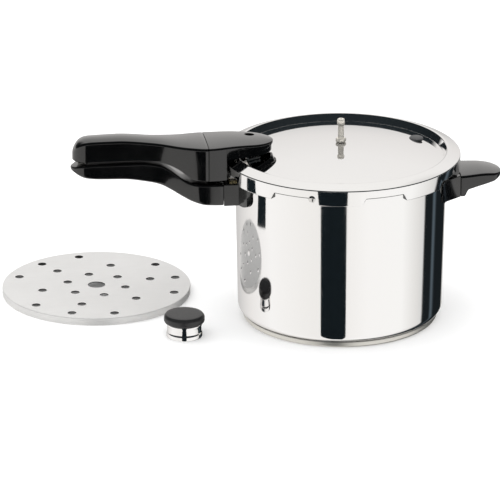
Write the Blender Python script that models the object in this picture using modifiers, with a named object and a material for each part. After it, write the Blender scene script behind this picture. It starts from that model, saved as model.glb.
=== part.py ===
"""Stainless pressure canner: pot with two handles, bayonet cover with its safety lock, rack and regulator.

Frame: origin at the centre of the pot's base on the floor, +Z up, the long handles towards -X.
Metres throughout; the mm() helper turns millimetres into metres.
"""
import math

import bmesh
import bpy
from mathutils import Matrix, Vector


def mm(value):
    return value * 0.001


GAP = 0.3                       # clearance between pieces that touch, mm

# Pot and its base
POT_R_TOP = 104.2
POT_R_LOW = 101.3
POT_WALL = 1.5
POT_FLOOR_Z = 5.8               # underside of the pot's own bottom
POT_CORNER_R = 8.0
POT_RIM_Z = 160.5
RIM_LUG_R = 115.6
RIM_GAP_R = 108.5
RIM_LUG_DEG = 20.0
RIM_FLANGE_Z = 157.2
BASE_R = 96.5

# Bayonet: eight lugs on the pot rim and eight under the cover's skirt
LUG_COUNT = 8
LUG_PHASE_DEG = -100.0
COVER_NOTCH_DEG = 21.0

# Cover
COVER_R = 117.6
COVER_EDGE_Z = 169.0
COVER_SKIRT_Z = 153.6
COVER_NOTCH_Z = 160.3
COVER_SHEET = 1.2
COVER_LUG_R = 110.0
RIDGE_R = 105.6
RIDGE_Z = 173.2
FLOOR_R = 101.0
FLOOR_Z = 166.0
DOME_RISE = 13.0
VENT_HOLE_R = 3.3
PLUG_XY = (79.0, 22.0)
PLUG_R = 7.0
RIVET_POLAR_DEG = -112.7
RIVET_Z = 160.0

# Handles: distance along -X from the pot's axis
COVER_TIP_R = 265.0
COVER_SCREW_Y = -7.0
FRONT_SCREW_X = -124.0
REAR_SCREW_X = -143.0
BODY_SCREW_X = -143.0
HELPER_SCREW_X = 134.0
SCREW_HEAD_R = 3.9
SCREW_SHANK_R = 2.0
SCREW_CLEAR_R = 2.4
COUNTERBORE_R = 4.4
STRAP_LOW_Z = 173.6
STRAP_HIGH_Z = 175.4
STRAP_TOLERANCE = 0.4
BODY_COLLAR_Z = (126.8, 149.0)
HELPER_COLLAR_Z = (124.4, 146.6)
COLLAR_POT_GAP = 0.4
TONGUE_HALF_W = 8.0
TONGUE_HALF_T = 1.5
TONGUE_CLEAR = 0.4
BODY_TONGUE_Z = 139.0
HELPER_TONGUE_Z = 137.8
SPRING_MIDDLE = (-109.6, -18.2, 148.4)
SPRING_LENGTH = 7.6
BODY_TIP_R = 266.8
EYELET_X = -255.0
EYELET_TOP_Z = 171.2
COVER_SEAM_R = 134.0
NOSE_TIP_R = 67.5
BODY_SEAM_R = 119.4
HELPER_SEAM_R = 115.6
HELPER_TIP_R = 160.0

# Safety lock in the cover handle
VENT_XY = (-89.5, 9.5)
VENT_MOUTH_R = 4.9
PIVOT_PIN_R = 1.5
PIVOT_HOLE_R = 1.8
PIVOT_PIN_HALF = 21.0
LOCK_XY = (-127.0, 9.5)
PIVOT_X = 0.5 * (VENT_XY[0] + LOCK_XY[0])
PIVOT_Z = 177.5
COLLAR_TOP_Z = 175.5            # top of the collars that the lever works on
LEVER_HALF_T = 1.0

# Accessories lying on the floor beside the pot
RACK_XY = (-233.5, 89.5)
RACK_R = 94.6
RACK_H = 7.6
REGULATOR_XY = (-161.0, -42.0)

STEPS = 56                      # segments of the large turned pieces


# ---------------------------------------------------------------- scene and helpers
for old in list(bpy.data.objects):
    bpy.data.objects.remove(old, do_unlink=True)
PARTS = bpy.data.collections.new("pressure_canner")
CUTTERS = bpy.data.collections.new("cutters")
bpy.context.scene.collection.children.link(PARTS)
bpy.context.scene.collection.children.link(CUTTERS)


def material(name, colour, roughness, metallic):
    mat = bpy.data.materials.new(name)
    mat.use_nodes = True
    shader = mat.node_tree.nodes["Principled BSDF"]
    shader.inputs["Base Color"].default_value = (*colour, 1.0)
    shader.inputs["Roughness"].default_value = roughness
    shader.inputs["Metallic"].default_value = metallic
    return mat


def mirror_steel(name):
    return material(name, (0.80, 0.80, 0.79), 0.08, 1.0)


def dull_steel(name):
    return material(name, (0.55, 0.55, 0.54), 0.35, 1.0)


def black_plastic(name):
    return material(name, (0.012, 0.012, 0.013), 0.18, 0.0)


def rubber(name, grey):
    return material(name, (grey, grey, grey), 0.7, 0.0)


def new_part(name, mesh, mat, parent, smooth=True):
    """Names a mesh, gives it its material and hangs it on its body's empty."""
    mesh.name = name
    mesh.materials.clear()
    mesh.materials.append(mat)
    if smooth:
        mesh.shade_smooth()
        mesh.set_sharp_from_angle(angle=math.radians(35))
    obj = bpy.data.objects.new(name, mesh)
    PARTS.objects.link(obj)
    obj.parent = parent
    obj.matrix_parent_inverse = Matrix.Translation(-parent.location)
    return obj


def pivot(name, point_mm):
    """An empty on a joint's axis; a body's parts hang on it."""
    empty = bpy.data.objects.new(name, None)
    empty.location = [mm(c) for c in point_mm]
    PARTS.objects.link(empty)
    return empty


def mesh_from(bm, name):
    mesh = bpy.data.meshes.new(name)
    bmesh.ops.recalc_face_normals(bm, faces=bm.faces)
    bm.to_mesh(mesh)
    bm.free()
    return mesh


def cutter(bm_or_mesh, name):
    mesh = bm_or_mesh if isinstance(bm_or_mesh, bpy.types.Mesh) else mesh_from(bm_or_mesh, name)
    obj = bpy.data.objects.new(name, mesh)
    CUTTERS.objects.link(obj)
    obj.hide_render = True
    obj.display_type = "WIRE"
    return obj


def boolean(obj, tool, operation="DIFFERENCE"):
    mod = obj.modifiers.new(operation.lower(), "BOOLEAN")
    mod.operation = operation
    mod.solver = "EXACT"
    mod.object = tool


def box_bm(bm, x, y, z):
    """Adds a box given its low and high values on each axis, in mm."""
    size = [mm(b - a) for a, b in (x, y, z)]
    centre = [mm(0.5 * (a + b)) for a, b in (x, y, z)]
    bmesh.ops.create_cube(bm, size=1.0, matrix=Matrix.Translation(centre) @ Matrix.Diagonal((*size, 1.0)))
    return bm


def rod_bm(bm, start, end, radius, segments=20, end_radius=None):
    """Adds a cylinder or cone between two points, in mm."""
    a, b = Vector(start), Vector(end)
    turn = (b - a).to_track_quat("Z", "Y").to_matrix().to_4x4()
    place = Matrix.Translation((a + b) * 0.5 * 0.001) @ turn
    bmesh.ops.create_cone(bm, cap_ends=True, segments=segments, radius1=mm(radius),
                          radius2=mm(radius if end_radius is None else end_radius),
                          depth=mm((b - a).length), matrix=place)
    return bm


def box(x, y, z):
    return box_bm(bmesh.new(), x, y, z)


def rod(start, end, radius, segments=20, end_radius=None):
    return rod_bm(bmesh.new(), start, end, radius, segments, end_radius)


def turned(name, profile, mat, parent, centre=(0.0, 0.0), steps=STEPS, ring=False):
    """A Screw solid; the profile runs down the outer side. ring=True closes it clear of the axis."""
    mesh = bpy.data.meshes.new(name)
    count = len(profile)
    edges = [(i, i + 1) for i in range(count - 1)] + ([(count - 1, 0)] if ring else [])
    mesh.from_pydata([(mm(r), 0.0, mm(z)) for r, z in profile], edges, [])
    obj = new_part(name, mesh, mat, parent, smooth=False)
    obj.location = (mm(centre[0]), mm(centre[1]), 0.0)
    obj.matrix_parent_inverse = Matrix.Translation(-parent.location)
    screw = obj.modifiers.new("turn", "SCREW")
    screw.axis = "Z"
    screw.steps = steps
    screw.render_steps = steps
    screw.use_merge_vertices = True
    screw.merge_threshold = 0.00002
    screw.use_smooth_shade = True
    return obj


def outline_part(name, points, low, high, axis, mat, parent):
    """A flat outline as a filled 2D curve, extruded from low to high along an axis, made a mesh."""
    curve = bpy.data.curves.new(name, "CURVE")
    curve.dimensions = "2D"
    curve.fill_mode = "BOTH"
    curve.extrude = mm(0.5 * (high - low))
    spline = curve.splines.new("POLY")
    spline.points.add(len(points) - 1)
    for point, (a, b) in zip(spline.points, points):
        point.co = (mm(a), mm(b), 0.0, 1.0)
    spline.use_cyclic_u = True
    holder = bpy.data.objects.new(name + "_outline", curve)
    CUTTERS.objects.link(holder)
    middle = mm(0.5 * (low + high))
    if axis == "Z":
        holder.matrix_world = Matrix.Translation((0.0, 0.0, middle))
    else:
        upright = Matrix.Rotation(math.radians(90), 4, "X")
        holder.matrix_world = Matrix.Translation((0.0, middle, 0.0)) @ upright
    mesh = curve_mesh(holder)
    return new_part(name, mesh, mat, parent)


def curve_mesh(holder):
    """The curve's evaluated mesh in world space, with its caps welded; the curve is removed."""
    bpy.context.view_layer.update()
    mesh = bpy.data.meshes.new_from_object(holder.evaluated_get(bpy.context.evaluated_depsgraph_get()))
    mesh.transform(holder.matrix_world)
    bm = bmesh.new()
    bm.from_mesh(mesh)
    bmesh.ops.remove_doubles(bm, verts=bm.verts, dist=0.000002)
    bmesh.ops.recalc_face_normals(bm, faces=bm.faces)
    bm.to_mesh(mesh)
    bm.free()
    bpy.data.objects.remove(holder, do_unlink=True)
    return mesh


def smooth_value(keys, x):
    """A smooth curve through (x, value) keys that never overshoots them."""
    if x <= keys[0][0]:
        return keys[0][1]
    for (x0, v0), (x1, v1) in zip(keys, keys[1:]):
        if x <= x1:
            slope = [key_slope(keys, k) for k in (x0, x1)]
            h = x1 - x0
            t = (x - x0) / h
            return ((1 + 2 * t) * (1 - t) ** 2 * v0 + t * (1 - t) ** 2 * h * slope[0]
                    + t * t * (3 - 2 * t) * v1 + t * t * (t - 1) * h * slope[1])
    return keys[-1][1]


def key_slope(keys, x):
    """Slope at a key: the harmonic mean of its neighbours' slopes, or zero at a turn or an end."""
    i = [k[0] for k in keys].index(x)
    if i == 0 or i == len(keys) - 1:
        return 0.0
    before = (keys[i][1] - keys[i - 1][1]) / (keys[i][0] - keys[i - 1][0])
    after = (keys[i + 1][1] - keys[i][1]) / (keys[i + 1][0] - keys[i][0])
    return 0.0 if before * after <= 0 else 2 * before * after / (before + after)


def section(half, low, high, top_r, low_r, per_corner):
    """A rounded rectangle as (y, z) points, anticlockwise seen along -X."""
    points = []
    corners = [(half, high, top_r, 0), (-half, high, top_r, 90), (-half, low, low_r, 180), (half, low, low_r, 270)]
    for y, z, radius, start in corners:
        radius = min(radius, 0.98 * abs(y), 0.49 * (high - low))
        cy, cz = y - math.copysign(radius, y), z - (radius if z == high else -radius)
        for k in range(per_corner + 1):
            angle = math.radians(start + 90.0 * k / per_corner)
            points.append((cy + radius * math.cos(angle), cz + radius * math.sin(angle)))
    return points


def loft_bm(stations, per_corner=2):
    """Joins rounded-rectangle stations (x, half, low, high, top_r, low_r) into one closed body."""
    bm = bmesh.new()
    rings = []
    for x, half, low, high, top_r, low_r in stations:
        outline = section(half, low, high, top_r, low_r, per_corner)
        rings.append([bm.verts.new((mm(x), mm(y), mm(z))) for y, z in outline])
    for ring, after in zip(rings, rings[1:]):
        for k in range(len(ring)):
            n = (k + 1) % len(ring)
            bm.faces.new((ring[k], ring[n], after[n], after[k]))
    bm.faces.new(rings[0])
    bm.faces.new(rings[-1])
    return bm


def handle_stations(r_values, width, top, low, side, tip=None, tip_len=0.0, tip_mid=0.6, top_r=3.5, low_r=2.5):
    """Stations of a handle along side*r; a tip closes it with a quarter ellipse over tip_len."""
    stations = []
    for r in r_values:
        half = smooth_value(width, r)
        high, bottom = smooth_value(top, r), smooth_value(low, r)
        if tip is not None and abs(tip - r) < tip_len:
            s = math.sqrt(max(1.0 - (1.0 - abs(tip - r) / tip_len) ** 2, 0.0025))
            middle = bottom + tip_mid * (high - bottom)
            t = 1.0 - (1.0 - s) * 0.75
            half, high, bottom = half * s, middle + (high - middle) * t, middle - (middle - bottom) * t
        stations.append((side * r, half, bottom, high, top_r, low_r))
    return stations


def spaced(start, end, count):
    return [start + (end - start) * i / (count - 1) for i in range(count)]


def tip_spaced(tip, tip_len, count=6):
    """Distances that crowd towards a rounded tip, for a quarter ellipse."""
    sign = 1.0 if tip_len > 0 else -1.0
    return [tip - sign * abs(tip_len) * (1.0 - math.cos(math.radians(90.0 * i / count))) for i in range(count + 1)]


def dome_z(radius):
    """Top surface of the cover's dome inside its ridge."""
    return FLOOR_Z + DOME_RISE * (1.0 - (radius / FLOOR_R) ** 2)


def sector_cutter(name, r_low, r_high, z_low, z_high, width_deg, phase_deg, count=LUG_COUNT):
    """Evenly spaced wedges, as one cutter."""
    bm = bmesh.new()
    arc = 3
    for i in range(count):
        middle = math.radians(phase_deg + 360.0 * i / count)
        half = math.radians(width_deg) / 2.0
        angles = [middle - half + 2 * half * k / arc for k in range(arc + 1)]
        flat = [(r_low, a) for a in angles] + [(r_high, a) for a in reversed(angles)]
        verts = [bm.verts.new((mm(r * math.cos(a)), mm(r * math.sin(a)), mm(z_low))) for r, a in flat]
        face = bm.faces.new(verts)
        lifted = bmesh.ops.extrude_face_region(bm, geom=[face])["geom"]
        moved = [v for v in lifted if isinstance(v, bmesh.types.BMVert)]
        bmesh.ops.translate(bm, verts=moved, vec=(0.0, 0.0, mm(z_high - z_low)))
    return cutter(bm, name)


def screw_hole(obj, x, y, mouth, shoulder, head_r, end):
    """A counterbore from the mouth up to the shoulder, then a clearance hole up to the end."""
    boolean(obj, rods_cutter(obj.name + "_counterbore", [((x, y, mouth), (x, y, shoulder), head_r)], 16))
    boolean(obj, rods_cutter(obj.name + "_shank_hole", [((x, y, shoulder - 0.5), (x, y, end), SCREW_CLEAR_R)]))


def rods_cutter(name, rods, segments=12):
    """Several cylinders (start, end, radius) that don't meet, as one cutter."""
    bm = bmesh.new()
    for start, end, radius in rods:
        rod_bm(bm, start, end, radius, segments)
    return cutter(bm, name)


# ---------------------------------------------------------------- pot
def arc_points(centre_r, centre_z, radius, start_deg, end_deg, count):
    angles = spaced(math.radians(start_deg), math.radians(end_deg), count)
    return [(centre_r + radius * math.cos(a), centre_z + radius * math.sin(a)) for a in angles]


def make_pot(parent):
    """Pot with a rounded bottom corner and a rim flange cut into eight bayonet lugs."""
    corner = (POT_R_LOW - POT_CORNER_R, POT_FLOOR_Z + POT_CORNER_R)
    inside = [(0.0, POT_FLOOR_Z + POT_WALL)]
    inside += arc_points(*corner, POT_CORNER_R - POT_WALL, -90.0, 0.0, 4)
    inside += [(POT_R_TOP - POT_WALL, POT_RIM_Z - 1.5), (POT_R_TOP - POT_WALL + 0.8, POT_RIM_Z)]
    rim = [(POT_R_TOP + 3.0, POT_RIM_Z), (POT_R_TOP + 4.0, POT_RIM_Z - 1.3), (RIM_LUG_R, POT_RIM_Z - 1.3),
           (RIM_LUG_R, RIM_FLANGE_Z), (POT_R_TOP, RIM_FLANGE_Z)]
    outside = arc_points(*corner, POT_CORNER_R, 0.0, -90.0, 5) + [(0.0, POT_FLOOR_Z)]
    pot = turned("body_pot", inside + rim + outside, mirror_steel("pot_steel"), parent)
    boolean(pot, sector_cutter("rim_gap_cutter", RIM_GAP_R, RIM_LUG_R + 4.0, RIM_FLANGE_Z - 0.6, POT_RIM_Z + 1.0,
                               360.0 / LUG_COUNT - RIM_LUG_DEG, LUG_PHASE_DEG + 180.0 / LUG_COUNT))


def make_base(parent):
    """Aluminium heat-spreading disc held in a steel cap under the pot."""
    wall, floor = 0.8, 0.8
    top = POT_FLOOR_Z - GAP
    turned("base_core_disc", [(0.0, top), (BASE_R - wall - GAP, top), (BASE_R - wall - GAP, floor + GAP),
                              (0.0, floor + GAP)], dull_steel("core_aluminium"), parent)
    turned("base_cap", [(0.0, floor), (BASE_R - wall, floor), (BASE_R - wall, top), (BASE_R, top), (BASE_R, 1.2),
                        (BASE_R - 1.2, 0.0), (0.0, 0.0)], mirror_steel("cap_steel"), parent)


# ---------------------------------------------------------------- cover
def make_cover(parent):
    """One pressed sheet: skirt with inward lugs, raised ridge, sunk floor and low dome."""
    t = COVER_SHEET
    dome = [(r, dome_z(r)) for r in spaced(VENT_HOLE_R, FLOOR_R - 4.0, 5)]
    ridge = [(FLOOR_R, FLOOR_Z + 0.6), (RIDGE_R - 2.6, RIDGE_Z - 1.4), (RIDGE_R, RIDGE_Z)]
    edge = [(COVER_R - 1.4, COVER_EDGE_Z + 0.2), (COVER_R, COVER_EDGE_Z - 1.6)]
    skirt = [(COVER_R, COVER_SKIRT_Z + 1.0), (COVER_R - 1.0, COVER_SKIRT_Z), (COVER_LUG_R, COVER_SKIRT_Z),
             (COVER_LUG_R, COVER_SKIRT_Z + 1.6), (COVER_R - t, COVER_SKIRT_Z + 1.6)]
    inner_edge = [(COVER_R - t, COVER_EDGE_Z - 1.9)]
    inner_ridge = [(RIDGE_R, RIDGE_Z - t), (RIDGE_R - 1.7, RIDGE_Z - 1.4 - t), (FLOOR_R + 0.8, FLOOR_Z - t)]
    under = [(r, z - t) for r, z in reversed(dome)]
    cover = turned("cover_lid", dome + ridge + edge + skirt + inner_edge + inner_ridge + under,
                   mirror_steel("cover_steel"), parent, ring=True)
    boolean(cover, sector_cutter("cover_notch_cutter", COVER_LUG_R - 4.0, COVER_R + 4.0, COVER_SKIRT_Z - 2.0,
                                 COVER_NOTCH_Z, COVER_NOTCH_DEG, LUG_PHASE_DEG + 180.0 / LUG_COUNT))
    rivet = math.radians(RIVET_POLAR_DEG)
    c, s = math.cos(rivet), math.sin(rivet)
    holes = [((*PLUG_XY, 150.0), (*PLUG_XY, 190.0), PLUG_R - 0.7), ((*VENT_XY, 150.0), (*VENT_XY, 190.0), 4.3),
             ((112.0 * c, 112.0 * s, RIVET_Z), (124.0 * c, 124.0 * s, RIVET_Z), 1.6)]
    boolean(cover, rods_cutter("cover_hole_cutter", holes, 16))
    steel = dull_steel("rivet_steel")
    inner, outer, rim = COVER_R - 1.4, COVER_R + 0.9, COVER_R + 1.5
    shank = rod((inner * c, inner * s, RIVET_Z), (outer * c, outer * s, RIVET_Z), 1.3, 16)
    stop = new_part("cover_stop_rivet", mesh_from(shank, "cover_stop_rivet"), steel, parent)
    seat = COVER_R + 0.35
    head = rod((seat * c, seat * s, RIVET_Z), (rim * c, rim * s, RIVET_Z), 3.3, 20, 2.1)
    boolean(stop, cutter(head, "rivet_head_tool"), "UNION")


def make_seal(parent):
    """Rubber ring in the cover's channel, just above the pot's rim."""
    low, high = POT_RIM_Z + GAP, 165.8
    turned("sealing_ring", [(105.4, high), (115.8, high), (115.8, low), (114.0, low), (114.0, high - 2.0),
                            (107.4, high - 2.0), (107.4, low), (105.4, low)],
           rubber("seal_rubber", 0.10), parent, ring=True)


def make_vent_pipe(parent):
    """Vent pipe with its bore and rounded tip, and the hex nut that holds it in the cover."""
    top, seat = dome_z(0.0) + GAP, dome_z(0.0) - COVER_SHEET - GAP
    tip = [(0.9, top + 24.0), (2.2, top + 23.8), (3.4, top + 22.6), (3.9, top + 20.8), (3.8, top + 19.2),
           (2.9, top + 17.8), (2.75, top + 16.5)]
    profile = tip + [(2.75, seat), (5.0, seat), (5.0, seat - 2.4), (0.9, seat - 2.4)]
    turned("vent_pipe", profile, dull_steel("vent_steel"), parent, steps=14, ring=True)
    nut = bmesh.new()
    bmesh.ops.create_cone(nut, cap_ends=True, segments=6, radius1=mm(5.2), radius2=mm(5.2), depth=mm(4.2),
                          matrix=Matrix.Translation((0.0, 0.0, mm(top + 2.1))))
    mesh = mesh_from(nut, "vent_pipe_nut")
    nut_part = new_part("vent_pipe_nut", mesh, dull_steel("nut_steel"), parent, False)
    boolean(nut_part, rods_cutter("nut_bore_cutter", [((0, 0, top - 2.0), (0, 0, top + 8.0), 3.05)]))


def make_plug(parent):
    """Rubber overpressure plug seated in the cover."""
    x, y = PLUG_XY
    z = dome_z(math.hypot(x, y))
    turned("overpressure_plug", [(0.0, z + 4.0), (3.0, z + 3.8), (5.4, z + 2.9), (6.8, z + 1.9 + GAP), (6.8, z + 1.6),
                                 (5.9, z + 1.6), (5.9, z - 3.2), (4.6, z - 4.4), (0.0, z - 4.4)],
           rubber("plug_rubber", 0.06), parent, centre=PLUG_XY, steps=16)


# ---------------------------------------------------------------- cover handle
COVER_WIDTH = [(70.0, 20.5), (90.0, 22.0), (107.0, 24.6), (130.0, 27.2), (137.0, 27.4), (143.0, 26.4), (154.0, 23.4),
               (185.0, 15.0), (192.0, 14.2), (224.0, 13.4), (252.0, 12.6), (265.0, 12.0)]
COVER_TOP = [(67.5, 187.0), (107.0, 188.3), (131.0, 187.7), (154.0, 188.4), (185.0, 191.8), (222.0, 195.2),
             (246.0, 195.0), (258.0, 193.8), (265.0, 190.6)]
COVER_GRIP_LOW = [(134.0, 153.2), (147.0, 154.0), (154.0, 158.0), (162.0, 164.0), (171.0, 168.4), (181.0, 171.2),
                  (200.0, 172.6), (265.0, 172.8)]
NOSE_LOW = [(67.5, 174.8), (90.0, 174.3), (116.0, 173.7)]
BODY_WIDTH = [(119.0, 25.8), (135.0, 25.6), (142.0, 24.8), (150.0, 22.4), (180.0, 14.6), (188.0, 13.8), (224.0, 13.2),
              (252.0, 12.4), (266.8, 11.8)]
BODY_TOP = [(119.0, 149.0), (146.0, 149.4), (152.0, 150.8), (158.0, 153.8), (165.0, 159.2), (172.0, 164.2),
            (180.0, 167.8), (200.0, 170.4), (240.0, 170.4), (258.0, 169.6), (266.8, 167.6)]
BODY_LOW = [(119.0, 126.8), (135.0, 127.4), (148.0, 130.6), (160.0, 136.6), (170.0, 142.6), (180.0, 147.6),
            (192.0, 150.6), (215.0, 154.2), (240.0, 155.0), (250.0, 156.0), (258.0, 158.2), (266.8, 162.0)]
HELPER_WIDTH = [(115.0, 24.6), (138.0, 21.6), (160.0, 18.0)]
HELPER_TOP = [(115.0, 146.6), (138.0, 147.0), (160.0, 145.2)]
HELPER_LOW = [(115.0, 124.4), (120.5, 124.4), (121.6, 126.6), (123.6, 130.6), (129.0, 132.2), (150.0, 137.0),
              (160.0, 140.4)]


def nose_low(r):
    """The nose clears the cover's ridge, and drops to the neck block outside the skirt."""
    return COVER_GRIP_LOW[0][1] if r > 116.4 else smooth_value(NOSE_LOW, r)


def nose_stations(inset=0.0, floor=None, roof_drop=0.0, end=COVER_SEAM_R - GAP / 2):
    """Stations of the nose, or of the hollow inside it when it is inset from the outside."""
    tip, tip_len = NOSE_TIP_R + inset, 18.0
    r_values = tip_spaced(tip, -tip_len) + [96.0, 104.0, 112.0, 116.3, 116.5, 122.0, 128.0, end]
    stations = []
    for r in r_values:
        half = smooth_value(COVER_WIDTH, r) - inset
        round_off = max(1.0 - (1.0 - (r - tip) / tip_len) ** 2, 0.004) if r - tip < tip_len else 1.0
        high = smooth_value(COVER_TOP, r) - roof_drop
        bottom = nose_low(r) if floor is None else floor
        edge = 1.0 - math.sqrt(round_off)
        stations.append((-r, half * math.sqrt(round_off), bottom + 0.6 * edge, high - 1.4 * edge, 2.6, 1.2))
    return stations


def make_cover_nose(parent):
    nose = new_part("cover_handle_nose", mesh_from(loft_bm(nose_stations()), "cover_handle_nose"),
                    black_plastic("nose_plastic"), parent)
    skirt = rod((0.0, 0.0, 140.0), (0.0, 0.0, 173.2), COVER_R + 0.7, 96)
    boolean(nose, cutter(skirt, "skirt_clearance_cutter"))
    hollow = nose_stations(3.0, 161.0, 3.4, COVER_SEAM_R - 2.6)
    boolean(nose, cutter(loft_bm(hollow), "nose_hollow_cutter"))
    x, y = VENT_XY
    px, py = LOCK_XY
    reach = PIVOT_PIN_HALF + 0.5
    holes = [((x, y, 180.0), (x, y, 192.0), VENT_MOUTH_R), ((px, py, 150.0), (px, py, 164.0), 2.1),
             ((PIVOT_X, -reach, PIVOT_Z), (PIVOT_X, reach, PIVOT_Z), PIVOT_HOLE_R)]
    boolean(nose, rods_cutter("nose_hole_cutter", holes, 16))
    screw_hole(nose, FRONT_SCREW_X, COVER_SCREW_Y, 150.0, 157.2, COUNTERBORE_R, 164.0)
    boolean(nose, cutter(strap_slot(), "strap_slot_nose_cutter"))


def strap_slot():
    return box((-152.0, -126.0), (-14.0 - STRAP_TOLERANCE, STRAP_TOLERANCE),
               (STRAP_LOW_Z - STRAP_TOLERANCE, STRAP_HIGH_Z + STRAP_TOLERANCE))


def make_cover_grip(parent):
    r_values = [COVER_SEAM_R + GAP / 2, 139.0, 144.0, 149.0, 154.0, 159.0, 164.0, 170.0, 177.0, 185.0, 198.0, 214.0,
                230.0, 245.0] + list(reversed(tip_spaced(COVER_TIP_R, 14.0)))
    stations = handle_stations(r_values, COVER_WIDTH, COVER_TOP, COVER_GRIP_LOW, -1.0, COVER_TIP_R, 14.0)
    grip = new_part("cover_handle_grip", mesh_from(loft_bm(stations), "cover_handle_grip"),
                    black_plastic("cover_grip_plastic"), parent)
    boolean(grip, cutter(strap_slot(), "strap_slot_grip_cutter"))
    screw_hole(grip, REAR_SCREW_X, COVER_SCREW_Y, 148.0, 158.0, COUNTERBORE_R, 182.0)


def make_cover_bracket(parent):
    """Steel strap from a foot on the dome, over the ridge and through the nose into the grip."""
    end = -151.5
    foot = [(-82.0, 170.9), (-95.0, 168.0), (-95.0, STRAP_LOW_Z), (end, STRAP_LOW_Z), (end, STRAP_HIGH_Z),
            (-93.0, STRAP_HIGH_Z), (-93.0, 170.4), (-82.0, 172.7)]
    strap = outline_part("cover_handle_bracket", foot, -14.0, 0.0, "Y", dull_steel("bracket_steel"), parent)
    holes = [((x, COVER_SCREW_Y, 172.0), (x, COVER_SCREW_Y, 178.0), SCREW_CLEAR_R)
             for x in (FRONT_SCREW_X, REAR_SCREW_X)]
    boolean(strap, rods_cutter("strap_hole_cutter", holes))


def make_screw(name, x, y, head_z, head_h, head_r, top_z, parent):
    """A pan-head screw standing upright, driven from below, with a cross slot in its head."""
    shank_r = SCREW_SHANK_R
    screw = turned(name, [(0.0, top_z), (shank_r - 0.4, top_z), (shank_r, top_z - 0.6), (shank_r, head_z + head_h),
                          (head_r, head_z + head_h), (head_r, head_z + 0.7), (head_r - 0.8, head_z), (0.0, head_z)],
                   dull_steel(name + "_steel"), parent, centre=(x, y), steps=12)
    boolean(screw, cutter(box((x - head_r * 0.7, x + head_r * 0.7), (y - 0.5, y + 0.5),
                              (head_z - 1.0, head_z + 0.9)), name + "_slot_cutter"))


def make_cover_fasteners(parent):
    make_screw("cover_handle_screw_front", FRONT_SCREW_X, COVER_SCREW_Y, 154.4, 2.4, SCREW_HEAD_R, 178.4, parent)
    make_screw("cover_handle_screw_rear", REAR_SCREW_X, COVER_SCREW_Y, 155.0, 2.6, SCREW_HEAD_R, 181.6, parent)
    nut = bmesh.new()
    bmesh.ops.create_cone(nut, cap_ends=True, segments=6, radius1=mm(4.2), radius2=mm(4.2), depth=mm(2.2),
                          matrix=Matrix.Translation((mm(FRONT_SCREW_X), mm(COVER_SCREW_Y), mm(176.8))))
    mesh = mesh_from(nut, "cover_handle_nut")
    part = new_part("cover_handle_nut", mesh, dull_steel("small_nut_steel"), parent, False)
    bore = ((FRONT_SCREW_X, COVER_SCREW_Y, 175.0), (FRONT_SCREW_X, COVER_SCREW_Y, 180.0), 2.35)
    boolean(part, rods_cutter("small_nut_bore_cutter", [bore]))


# ---------------------------------------------------------------- safety lock in the cover handle
def make_lock(cover, vent, lever, pin):
    steel = dull_steel("lever_pin_steel")
    pin_rod = rod((PIVOT_X, -PIVOT_PIN_HALF, PIVOT_Z), (PIVOT_X, PIVOT_PIN_HALF, PIVOT_Z), PIVOT_PIN_R, 16)
    new_part("lever_pivot_pin", mesh_from(pin_rod, "lever_pivot_pin"), steel, cover)
    x, y = VENT_XY
    top = dome_z(math.hypot(x, y))
    seat = top + 2.2
    turned("air_vent_gasket", [(2.5, seat + 1.4), (5.4, seat + 1.4), (6.0, seat + 0.9), (6.0, seat), (4.0, seat),
                               (4.0, top - 2.2), (2.5, top - 2.2)],
           rubber("gasket_rubber", 0.05), cover, VENT_XY, 16, True)
    turned("air_vent_plunger", [(0.0, 180.4), (1.7, 180.2), (2.1, 179.6), (2.1, COLLAR_TOP_Z), (4.0, COLLAR_TOP_Z),
                                (4.0, COLLAR_TOP_Z - 1.2), (2.1, COLLAR_TOP_Z - 1.2), (2.1, 160.6), (3.8, 160.6),
                                (3.8, 159.2), (0.0, 159.2)], dull_steel("plunger_steel"), vent, VENT_XY, 12)
    plate = mesh_from(box((LOCK_XY[0] - 3.4, x + 4.0), (y - 5.0, y + 4.2),
                          (PIVOT_Z - LEVER_HALF_T, PIVOT_Z + LEVER_HALF_T)), "interlock_lever")
    arm = new_part("interlock_lever", plate, dull_steel("lever_steel"), lever, False)
    boss = rod((PIVOT_X, y - 5.0, PIVOT_Z), (PIVOT_X, y + 4.2, PIVOT_Z), 3.2, 24)
    boolean(arm, cutter(boss, "lever_boss_tool"), "UNION")
    slots = rod((PIVOT_X, y - 9.0, PIVOT_Z), (PIVOT_X, y + 9.0, PIVOT_Z), 1.85, 16)
    box_bm(slots, (x - 3.2, x + 6.0), (y - 2.7, y + 2.7), (170.0, 184.0))
    box_bm(slots, (LOCK_XY[0] - 6.0, LOCK_XY[0] + 2.9), (y - 2.4, y + 2.4), (170.0, 184.0))
    boolean(arm, cutter(slots, "lever_slot_cutter"))
    turned("lock_pin", [(0.0, 180.4), (1.3, 180.4), (1.7, 179.9), (1.7, COLLAR_TOP_Z), (3.1, COLLAR_TOP_Z),
                        (3.1, COLLAR_TOP_Z - 1.2), (1.7, COLLAR_TOP_Z - 1.2), (1.7, 151.2), (1.0, 150.3),
                        (0.0, 150.3)],
           dull_steel("lock_pin_steel"), pin, LOCK_XY, 12)


# ---------------------------------------------------------------- body handle
def tongue_slot(x, middle_z):
    """Room for a bracket's tongue, with a little clearance all round."""
    half_w, half_t = TONGUE_HALF_W + TONGUE_CLEAR, TONGUE_HALF_T + TONGUE_CLEAR
    return box(x, (-half_w, half_w), (middle_z - half_t, middle_z + half_t))


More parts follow.
